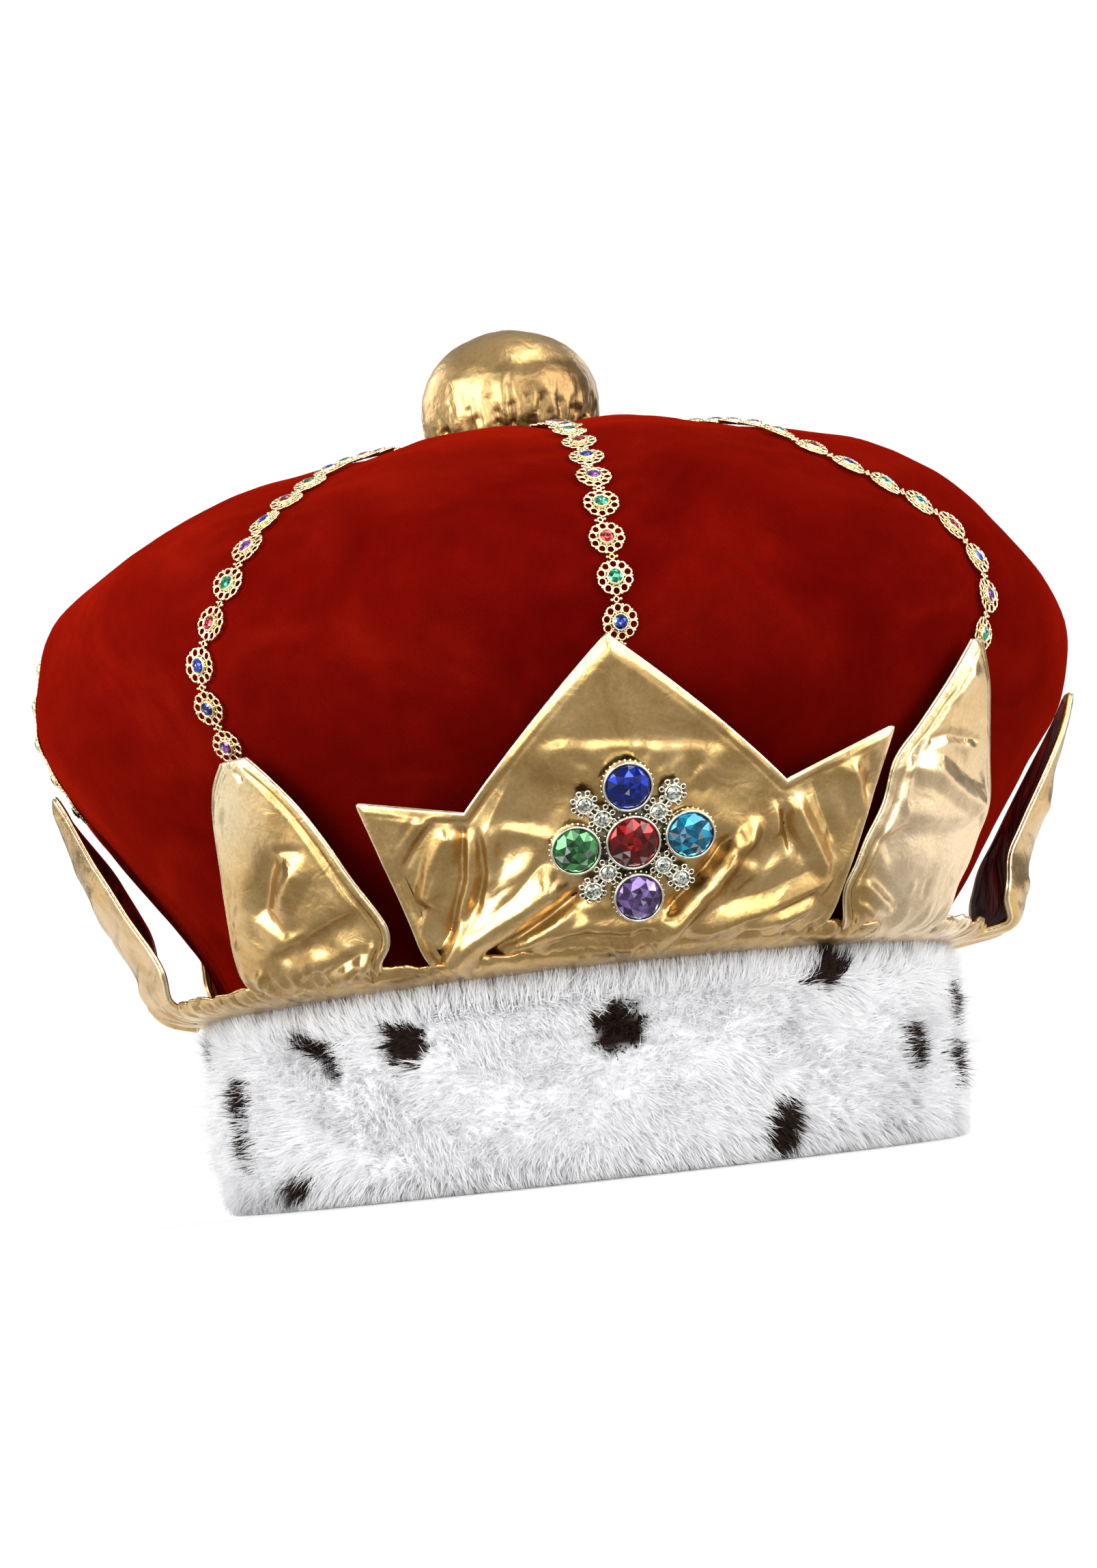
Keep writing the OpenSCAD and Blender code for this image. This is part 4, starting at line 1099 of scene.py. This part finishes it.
# =====================================================================================
# Ball
# =====================================================================================
def make_ball():
    ball_r, ball_h, neck, z0 = 25.6, 41.5, 12.0, 201.2
    zc = z0 + ball_h * 0.5
    rows, cols = 98, 160
    lat = np.linspace(-90, 90, rows)[:, None]
    az = np.linspace(-180, 180, cols + 1)[:-1][None, :]
    la = np.radians(lat)
    low = lat < 0
    r = np.where(low, neck + (ball_r - neck) * np.cos(la), ball_r * np.cos(la))
    z = np.where(low, zc + (zc - z0) * np.sin(la), zc + (z0 + ball_h - zc) * np.sin(la))
    a = np.radians(az)
    p = polar(r + 0 * az, az, z + 0 * az)
    n = unit(np.stack([np.cos(la) * np.sin(a), -np.cos(la) * np.cos(a), np.sin(la) + 0 * a], -1))
    # gathers: sharp valleys that start under the middle and run down to the neck
    up = perlin(xyz(np.sin(a) * 3.0, np.cos(a) * 3.0, 0.0), 111) * 16
    g1 = perlin(xyz(np.sin(a) * 8.0, np.cos(a) * 8.0, lat * 0.016), 112)
    g2 = perlin(xyz(np.sin(a) * 17, np.cos(a) * 17, lat * 0.03), 113)
    deep = (1 - ss(-34, 8, lat + up))
    h = -deep * (2.6 * np.exp(-np.abs(g1) / 0.10) + 1.5 * np.exp(-np.abs(g2) / 0.12)) + deep * 0.9
    h = h + 0.35 * perlin(xyz(np.sin(a) * 1.6, np.cos(a) * 1.6, lat * 0.02), 116)
    h = h + 0.16 * fbm(xyz(p[..., 0] / 7.0, p[..., 1] / 7.0, p[..., 2] / 2.6), 2, 114) + 0.05 * fbm(p / 1.8, 2, 115)
    p = p + n * h[..., None] + np.array([-0.9, 0, 0])
    top = p[-1].mean(0)
    bot = p[0].mean(0)
    v = np.concatenate([p[:-1].reshape(-1, 3), [top], [bot]])
    quads = grid_faces(rows - 1, cols, 0, True)
    j = np.arange(cols)
    last, t_id, b_id = (rows - 2) * cols, (rows - 1) * cols, (rows - 1) * cols + 1
    tris = np.concatenate([np.stack([last + j, last + (j + 1) % cols, np.full(cols, t_id)], -1),
                           np.stack([(j + 1) % cols, j, np.full(cols, b_id)], -1)])
    ob = new_object("ball_cloth", v, quads, tris, mats=(MAT["gold_ball_shaded"],))
    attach(ob, "root")
    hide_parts("top_ball")


# =====================================================================================
# Trims and stones
# =====================================================================================
def torus(R, r, major, minor, sx=1.0, h0=0.0):
    a = np.linspace(0, 2 * np.pi, major + 1)[:-1][:, None]
    b = np.linspace(0, 2 * np.pi, minor + 1)[:-1][None, :]
    x = (R + r * np.cos(b)) * np.cos(a) * sx
    y = (R + r * np.cos(b)) * np.sin(a)
    z = r * np.sin(b) + h0 + 0 * a
    v = np.stack([x, y, z], -1).reshape(-1, 3)
    i, j = np.arange(major)[:, None], np.arange(minor)[None, :]
    q = np.stack(np.broadcast_arrays(i * minor + j, ((i + 1) % major) * minor + j,
                                     ((i + 1) % major) * minor + (j + 1) % minor, i * minor + (j + 1) % minor), -1)
    return v, q.reshape(-1, 4), np.zeros((0, 3), int)


def lathe(profile, n, cap_top=True, cap_bottom=False, phase=0.0):
    """A turned shape from (radius, height) points."""
    pr = np.asarray(profile, float)
    a = np.linspace(0, 2 * np.pi, n + 1)[:-1][None, :] + phase
    v = np.stack(np.broadcast_arrays(pr[:, :1] * np.cos(a), pr[:, :1] * np.sin(a), pr[:, 1:2]), -1).reshape(-1, 3)
    q = grid_faces(len(pr), n, 0, True)
    t = np.zeros((0, 3), int)
    j = np.arange(n)
    if cap_top:
        v = np.concatenate([v, [[0, 0, pr[-1, 1]]]])
        t = np.concatenate([t, np.stack([(len(pr) - 1) * n + j, (len(pr) - 1) * n + (j + 1) % n, np.full(n, len(v) - 1)], -1)])
    if cap_bottom:
        v = np.concatenate([v, [[0, 0, pr[0, 1]]]])
        t = np.concatenate([t, np.stack([(j + 1) % n, j, np.full(n, len(v) - 1)], -1)])
    return v, q, t


def bead(r, n=8, m=5, flat=1.0):
    lat = np.linspace(-90, 90, m + 2)[1:-1]
    v, q, t = lathe([(r * math.cos(math.radians(x)), r * flat * math.sin(math.radians(x))) for x in lat], n, True, True)
    v[-2, 2], v[-1, 2] = r * flat, -r * flat
    return v, q, t


def merge(parts):
    vs, qs, ts, tags, k = [], [], [], [], 0
    for i, (v, q, t) in enumerate(parts):
        vs.append(v)
        qs.append(q + k)
        ts.append(t + k)
        tags.append(np.full(len(v), i))
        k += len(v)
    return np.concatenate(vs), np.concatenate(qs), np.concatenate(ts), np.concatenate(tags)


def move(part, x=0.0, y=0.0, z=0.0, turn=0.0, s=1.0):
    v, q, t = part
    c, d = math.cos(turn), math.sin(turn)
    w = np.stack([v[:, 0] * c - v[:, 1] * d, v[:, 0] * d + v[:, 1] * c, v[:, 2]], -1) * s + np.array([x, y, z])
    return w, q, t


def facet_stone(r, h, n=8, base=0.0, turn=0.0):
    """A cut stone: girdle, three rows of crown facets and a small table, each facet with its own corners."""
    a = turn + np.arange(n) * 2 * np.pi / n
    half = a + np.pi / n
    ring = lambda rr, ang, z: np.stack([rr * np.cos(ang), rr * np.sin(ang), np.full(n, z)], -1)
    low, girdle = ring(r, a, base), ring(r, a, base + h * 0.28)
    gh = ring(r * 0.985, half, base + h * 0.28)
    mid = ring(r * 0.80, half, base + h * 0.66)
    inner = ring(r * 0.56, a, base + h * 0.90)
    table = ring(r * 0.30, half, base + h)
    ctr = np.array([0, 0, base + h * 1.01])
    tris = []
    for k in range(n):
        k2, k0 = (k + 1) % n, (k - 1) % n
        tris += [(low[k], low[k2], gh[k]), (low[k], gh[k], girdle[k]), (low[k2], girdle[k2], gh[k]),
                 (girdle[k], gh[k], mid[k]), (gh[k], girdle[k2], mid[k]),
                 (girdle[k], mid[k], inner[k]), (girdle[k], inner[k], mid[k0]), (inner[k], mid[k], inner[k2]),
                 (inner[k], inner[k2], table[k]), (inner[k], table[k], table[k0]), (table[k0], table[k], ctr)]
    v = np.array(tris).reshape(-1, 3)
    return v, np.zeros((0, 4), int), np.arange(len(v)).reshape(-1, 3)


def facet_tints_and_glints(v, tint, seed, spread=1.0):
    """Each facet's colour: the stone's tint, made deeper or lighter per facet as painted reflections of the cuts below;
    a few facets nearly white as painted glints, a few nearly black as painted shade.
    """
    g = np.random.default_rng(seed)
    n = len(v) // 3
    k = np.exp(g.normal(-0.25, 0.75 * spread, n)).clip(0.12, 3.2)
    t = np.asarray(tint)[None, :] * k[:, None]
    pale = g.random(n) < 0.10 * spread
    t[pale] = t[pale] * 0.5 + np.array([0.55, 0.56, 0.58]) * g.random((pale.sum(), 1))
    return np.repeat(t.clip(0, 0.95), 3, 0)


TINT = {"blue": (0.012, 0.045, 0.42), "navy": (0.008, 0.014, 0.16), "green": (0.02, 0.24, 0.13), "red": (0.42, 0.010, 0.012),
        "purple": (0.24, 0.05, 0.30), "teal": (0.02, 0.25, 0.24), "clear": (0.78, 0.80, 0.72)}
# Stones of each trim, from the point's tip up to the ball
TRIM_STONES = {
    0: "blue green red green purple blue red green blue red purple",
    45: "green purple blue red teal green blue red teal purple green blue red",
    -45: "purple navy blue red green purple blue red green blue teal red purple",
    90: "blue green red purple blue green red teal blue purple red green",
    -90: "green red blue purple green red blue teal purple red green blue",
    135: "red blue green purple red teal blue green red purple blue green",
    -135: "blue red purple green blue red teal green purple blue red green",
    180: "green purple red blue green teal red blue purple green red blue"}
TRIM_TIP = {0: 127.5, 45: 123.5, 90: 122, 135: 121.5, 180: 125, -135: 120, -90: 118.5, -45: 111.5}
TRIM_START = {0: 2.5, 45: 0.0, 90: 1.5, 135: 3.2, 180: 0.8, -135: 2.0, -90: 0.4, -45: 2.5}


def trim_path(az0):
    """The floor of one valley, from the ball downwards: lengths, rows, points and directions."""
    t = 17.6 - np.arange(0, 251) / 20
    p = cap_at(t, az0, 0.0)
    s = np.concatenate([[0], np.cumsum(np.linalg.norm(np.diff(p, axis=0), axis=1))])
    tan = unit(np.gradient(p, axis=0))
    up = unit(cap_at(t, az0, 1.0) - p)
    up = unit(up - tan * np.sum(up * tan, -1, keepdims=True))
    side = np.cross(up, tan)
    return s, t, p, tan, up, side


def make_trims():
    # an open flower of ten wire loops round a small cup, and a short link to the next one
    petals, dots = [], []
    for k in range(10):
        a = 2 * np.pi * (k + 0.5) / 10
        petals.append(move(torus(0.98, 0.29, 10, 4), 3.32 * math.cos(a), 3.32 * math.sin(a), 0.30, a))
        a = 2 * np.pi * k / 10
        dots.append(move(bead(0.42, 6, 2), 4.05 * math.cos(a), 4.05 * math.sin(a), 0.30))
        dots.append(move(bead(0.34, 5, 2), 2.35 * math.cos(a), 2.35 * math.sin(a), 0.62))
    cup = lathe([(1.95, 0.0), (2.15, 0.5), (2.12, 1.15), (1.95, 1.45), (1.74, 1.35), (1.66, 0.8)], 12, False)
    links = [move(torus(0.66, 0.27, 8, 4), 0.0, 5.25, 0.32), move(bead(0.44, 6, 2), 1.15, 5.25, 0.3), move(bead(0.44, 6, 2), -1.15, 5.25, 0.3)]
    v, q, t, _ = merge(petals + dots + [cup] + links)
    sv, sq, st = facet_stone(1.80, 1.0, 7, 0.80)
    pitch = 10.5
    for i, az0 in enumerate(TRIM_AZ):
        s, rows, p, tan, up, side = trim_path(az0)
        upper = rows < 12
        end = np.interp(-(TRIM_TIP[az0] - 12.0), -p[upper, 2], s[upper])
        tip_s = np.interp(-TRIM_TIP[az0], -p[upper, 2], s[upper])
        start = TRIM_START[az0]
        n = int((end - start) // pitch)
        deep = spline(CAP, rows)[:, 2] * 4.8 / np.maximum(np.hypot(p[:, 0], p[:, 1]), 8)

        def at(sv_, arr):
            return np.stack([np.interp(sv_, s, arr[:, c]) for c in range(3)], -1)

        names = TRIM_STONES[az0].split()
        vs, qs, ts, svs, sts, scs = [], [], [], [], [], []
        nv = ns = 0
        g = np.random.default_rng(300 + i)
        centres = [start + (k + 0.5) * pitch for k in range(n)]
        first = max(k for k in range(n) if centres[k] < tip_s + 2)
        for k, s0 in enumerate(centres):
            turn, tilt, shift = g.normal(0, 0.08), g.normal(0, 0.05), g.normal(0, 0.25)
            c, d = math.cos(turn), math.sin(turn)

            def place(w, lift):
                x, y = w[:, 0] * c - w[:, 1] * d, w[:, 0] * d + w[:, 1] * c
                sy = s0 - y
                rise = np.interp(sy, s, deep) * np.abs(x) * 0.9
                x = x + shift
                return at(sy, p) + at(sy, side) * x[:, None] + at(sy, up) * (w[:, 2] + lift + rise + tilt * x)[:, None]

            vs.append(place(v, 0.75))
            qs.append(q + nv)
            ts.append(t + nv)
            nv += len(v)
            svs.append(place(sv, 0.75))
            sts.append(st + ns)
            ns += len(sv)
            scs.append(facet_tints_and_glints(sv, TINT[names[(first - k) % len(names)]], 1000 * i + k, 0.8))
        ob = new_object("trim_%d" % (i + 1), np.concatenate(vs), np.concatenate(qs), np.concatenate(ts), mats=(MAT["trim"],))
        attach(ob, "root")
        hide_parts("gem_trim_%d" % (i + 1))
        ob = new_object("trim_%d_stones" % (i + 1), np.concatenate(svs), None, np.concatenate(sts), mats=(MAT["stone"],),
                        smooth=False, colour=np.concatenate(scs))
        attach(ob, "root")
        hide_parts("gem_trim_%d" % (i + 1))


def make_brooch():
    bz, turn = 80.8, math.radians(2.6)
    slope = math.atan((np.interp(bz + 6, GOLD[:, 0], GOLD[:, 1]) - np.interp(bz - 6, GOLD[:, 0], GOLD[:, 1])) / 12)
    nrm = np.array([0, -math.cos(slope), -math.sin(slope)])
    upv = np.array([0, -math.sin(slope), math.cos(slope)])
    org = np.array([0, -np.interp(bz, GOLD[:, 0], GOLD[:, 1]), bz]) + nrm * 0.5

    cs, sn = math.cos(math.radians(-0.4)), math.sin(math.radians(-0.4))
    spin = lambda w: np.stack([w[..., 0] * cs - w[..., 1] * sn, w[..., 0] * sn + w[..., 1] * cs, w[..., 2]], -1)

    def world(w):
        x, y = w[:, :1] * math.cos(turn) - w[:, 1:2] * math.sin(turn), w[:, :1] * math.sin(turn) + w[:, 1:2] * math.cos(turn)
        return spin(org + x * np.array([1.0, 0, 0]) + y * upv + w[:, 2:3] * nrm)

    G = 14.0
    big = [("centre", 0, 0, 6.1, (0.24, 0.003, 0.002)), ("top", 0, G, 5.5, (0.004, 0.022, 0.30)),
           ("right", G, 0, 5.5, (0.010, 0.24, 0.42)), ("bottom", 0, -G, 5.5, (0.17, 0.10, 0.30)),
           ("left", -G, 0, 5.5, (0.045, 0.20, 0.06))]
    metal, dark = [], []
    for i, (name, x, y, r, tint) in enumerate(big):
        metal.append(move(lathe([(r + 0.62, 0.0), (r + 0.78, 0.5), (r + 0.74, 1.9), (r + 0.56, 2.6), (r + 0.30, 2.75), (r + 0.04, 2.55),
                                 (r - 0.05, 1.6)], 44, False), x, y))
        for k in range(30):
            a = 2 * np.pi * (k + 0.5) / 30
            metal.append(move(bead(0.30, 6, 3), x + (r + 0.82) * math.cos(a), y + (r + 0.82) * math.sin(a), 0.9))
        dark.append(move(lathe([(r + 0.6, 0.1), (r + 0.5, 1.0), (0.2, 1.1)], 28, True), x, y))
        sv, sq, st = facet_stone(r - 0.02, 2.6, 9 if name == "centre" else 8, 1.5, 0.12 + 0.2 * i)
        ob = new_object("brooch_stone_" + name, world(move((sv, sq, st), x, y)[0]), None, st, mats=(MAT["stone"],), smooth=False,
                        colour=facet_tints_and_glints(sv, tint, 500 + i))
        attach(ob, "root")
        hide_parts("stone_" + name)
    # two small clear stones in scalloped settings on each diagonal
    small_v, small_t, small_c, ns = [], [], [], 0
    for k in range(4):
        a0 = math.radians(45 + 90 * k)
        for m, dist in enumerate((0.69, 1.09)):
            x, y = G * dist * math.cos(a0), G * dist * math.sin(a0)
            dark.append(move(lathe([(3.1, 0.0), (3.0, 0.9), (0.2, 1.0)], 18, True), x, y))
            metal.append(move(lathe([(2.24, 0.4), (2.28, 1.8), (2.10, 2.3), (1.90, 2.3), (1.8, 1.5)], 20, False), x, y))
            for c in range(8):
                b = a0 + 2 * np.pi * (c + 0.5) / 8
                metal.append(move(torus(0.60, 0.26, 9, 4), x + 2.86 * math.cos(b), y + 2.86 * math.sin(b), 1.25))
            for c in range(4):
                b = a0 + math.pi / 4 + c * math.pi / 2
                metal.append(move(bead(0.40, 6, 3), x + 1.98 * math.cos(b), y + 1.98 * math.sin(b), 2.35))
            sv, sq, st = move(facet_stone(1.90, 1.25, 7, 1.5, 0.2 * k + 0.5 * m), x, y)
            small_v.append(sv)
            small_t.append(st + ns)
            small_c.append(facet_tints_and_glints(sv, (0.50, 0.54, 0.44), 700 + 2 * k + m, 1.5))
            ns += len(sv)
    v, q, t, _ = merge(metal)
    ob = new_object("brooch_setting", world(v), q, t, mats=(MAT["brooch"],))
    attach(ob, "root")
    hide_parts("brooch_base")
    dark.append(lathe([(9.4, -0.1), (9.2, 0.6), (0.2, 0.7)], 28, True))
    v, q, t, _ = merge(dark)
    ob = new_object("brooch_back", world(v), q, t, mats=(MAT["bezel_dark"],))
    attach(ob, "root")
    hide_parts("brooch_base")
    sv = np.concatenate(small_v)
    ob = new_object("brooch_small_stones", world(sv), None, np.concatenate(small_t), mats=(MAT["stone"],), smooth=False,
                    colour=np.concatenate(small_c))
    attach(ob, "root")
    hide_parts("brooch_base")


# =====================================================================================
# Floor, world and lights
# =====================================================================================
def make_stage():
    n = 96
    a = np.linspace(0, 2 * np.pi, n + 1)[:-1]
    v = np.concatenate([np.stack([9000 * np.cos(a), 9000 * np.sin(a), 0 * a], -1), [[0, 0, 0]]])
    tris = np.stack([np.arange(n), (np.arange(n) + 1) % n, np.full(n, n)], -1)
    m = Nodes("floor")
    pos = m.add("ShaderNodeNewGeometry").outputs["Position"]
    shift = m.add("ShaderNodeMapping")
    shift.inputs["Location"].default_value = (0.03 / 0.25, 0.20 / 0.20, 0)
    shift.inputs["Scale"].default_value = (1 / 0.25, 1 / 0.20, 0)
    m.link(pos, shift.inputs["Vector"])
    ln = m.add("ShaderNodeVectorMath", operation="LENGTH")
    m.link(shift.outputs["Vector"], ln.inputs[0])
    ease = m.add("ShaderNodeMapRange", interpolation_type="SMOOTHSTEP")
    m.link(ln.outputs["Value"], ease.inputs["Value"])
    ease.inputs["From Min"].default_value = 0.55
    ease.inputs["From Max"].default_value = 1.75
    far = ease.outputs["Result"]
    speck = m.noise(30, 2, 0.5)
    m.set(Base_Color=m.ramp(speck, (0.3, (0.79, 0.79, 0.79)), (0.7, (0.81, 0.81, 0.81))), Roughness=0.8, Specular_IOR_Level=0.05)
    em = m.add("ShaderNodeEmission")
    em.inputs["Color"].default_value = (1, 1, 1, 1)
    em.inputs["Strength"].default_value = 1.15
    # a frosted sheet close to the object: most light goes through it, to the backdrop
    clear = m.add("ShaderNodeBsdfTransparent")
    sheet = m.add("ShaderNodeMixShader")
    sheet.inputs[0].default_value = 0.70
    m.link(m.bsdf.outputs[0], sheet.inputs[1])
    m.link(clear.outputs[0], sheet.inputs[2])
    mix = m.add("ShaderNodeMixShader")
    m.link(far, mix.inputs[0])
    m.link(sheet.outputs[0], mix.inputs[1])
    m.link(em.outputs[0], mix.inputs[2])
    out = next(x for x in m.nt.nodes if x.type == "OUTPUT_MATERIAL")
    m.link(mix.outputs[0], out.inputs["Surface"])
    floor = new_object("floor", v, None, tris, mats=(m.mat,), smooth=False)

    w = bpy.data.worlds.new("studio")
    bpy.context.scene.world = w
    w.use_nodes = True
    nt = w.node_tree
    nt.nodes.clear()
    out = nt.nodes.new("ShaderNodeOutputWorld")
    seen = nt.nodes.new("ShaderNodeBackground")
    seen.inputs["Color"].default_value = (1, 1, 1, 1)
    seen.inputs["Strength"].default_value = 1.0
    lit = nt.nodes.new("ShaderNodeBackground")
    tc = nt.nodes.new("ShaderNodeTexCoord")
    sep = nt.nodes.new("ShaderNodeSeparateXYZ")
    nt.links.new(tc.outputs["Generated"], sep.inputs[0])
    ramp = nt.nodes.new("ShaderNodeValToRGB")
    mr = nt.nodes.new("ShaderNodeMapRange")
    mr.inputs["From Min"].default_value = -1.0
    nt.links.new(sep.outputs["Z"], mr.inputs["Value"])
    nt.links.new(mr.outputs["Result"], ramp.inputs["Fac"])
    cr = ramp.color_ramp
    for pos, col in ((0.0, 0.10), (1.0, 0.60)):
        cr.elements[int(pos)].position = pos
        cr.elements[int(pos)].color = (col, col, col, 1)
    for pos, col in ((0.49, 0.12), (0.54, 0.18), (0.64, 0.12), (0.8, 0.30)):
        e = cr.elements.new(pos)
        e.color = (col, col, col, 1)
    nt.links.new(ramp.outputs["Color"], lit.inputs["Color"])
    lit.inputs["Strength"].default_value = 1.0
    lp = nt.nodes.new("ShaderNodeLightPath")
    mix = nt.nodes.new("ShaderNodeMixShader")
    nt.links.new(lp.outputs["Is Camera Ray"], mix.inputs[0])
    nt.links.new(lit.outputs[0], mix.inputs[1])
    nt.links.new(seen.outputs[0], mix.inputs[2])
    nt.links.new(mix.outputs[0], out.inputs["Surface"])

    def area(name, at, size, power, to=(0, 0, 0.13), size_y=None, colour=(1, 1, 1)):
        d = bpy.data.lights.new(name, "AREA")
        d.shape = "RECTANGLE"
        d.size = size
        d.size_y = size_y or size
        d.energy = power
        d.color = colour
        o = bpy.data.objects.new(name, d)
        bpy.context.scene.collection.objects.link(o)
        o.location = at
        o.rotation_mode = "QUATERNION"
        o.rotation_quaternion = (Vector(to) - Vector(at)).to_track_quat("-Z", "Y")
        o.visible_camera = False
        return o

    area("left", (-1.35, -0.85, 0.55), 1.15, 28.0, size_y=1.05)
    area("right", (1.35, -0.85, 0.60), 1.15, 25.0, size_y=1.05)
    area("front", (0.25, -1.7, 0.80), 1.2, 12.0, size_y=0.6)
    area("front_low", (-0.30, -1.6, 0.16), 1.2, 5.0, size_y=0.22)
    area("top", (0.40, -0.40, 1.33), 0.72, 5.2, size_y=0.30)
    area("back_left", (-1.0, 1.0, 0.85), 0.9, 8.0)
    area("back_right", (1.1, 1.1, 0.8), 0.8, 5.0)
    bpy.context.scene.view_settings.view_transform = "Standard"
    bpy.context.scene.view_settings.look = "None"


make_stage()
make_band()
FUR = 1.0
make_pile("pile_under", int(62000 * FUR), 1, 4.4, 0.62 / math.sqrt(FUR), False, 1.2)
make_pile("pile_front", int(55000 * FUR), 2, 6.2, 0.29 / math.sqrt(FUR), True, 0.85, az_lo=-100, az_hi=84)
make_pile("pile_back", int(27000 * FUR), 3, 6.2, 0.40 / math.sqrt(FUR), True, 0.85, az_lo=84, az_hi=260)
make_pile("pile_rim", int(22000 * FUR), 4, 8.6, 0.37 / math.sqrt(FUR), True, 0.9, q_lo=0.66, q_hi=0.90, rim=True)
make_cap()
make_base_strip()
make_front()
for number in (2, 3, 4, 5, 6, 7, 8):
    make_kite(number)
make_ball()
make_trims()
make_brooch()
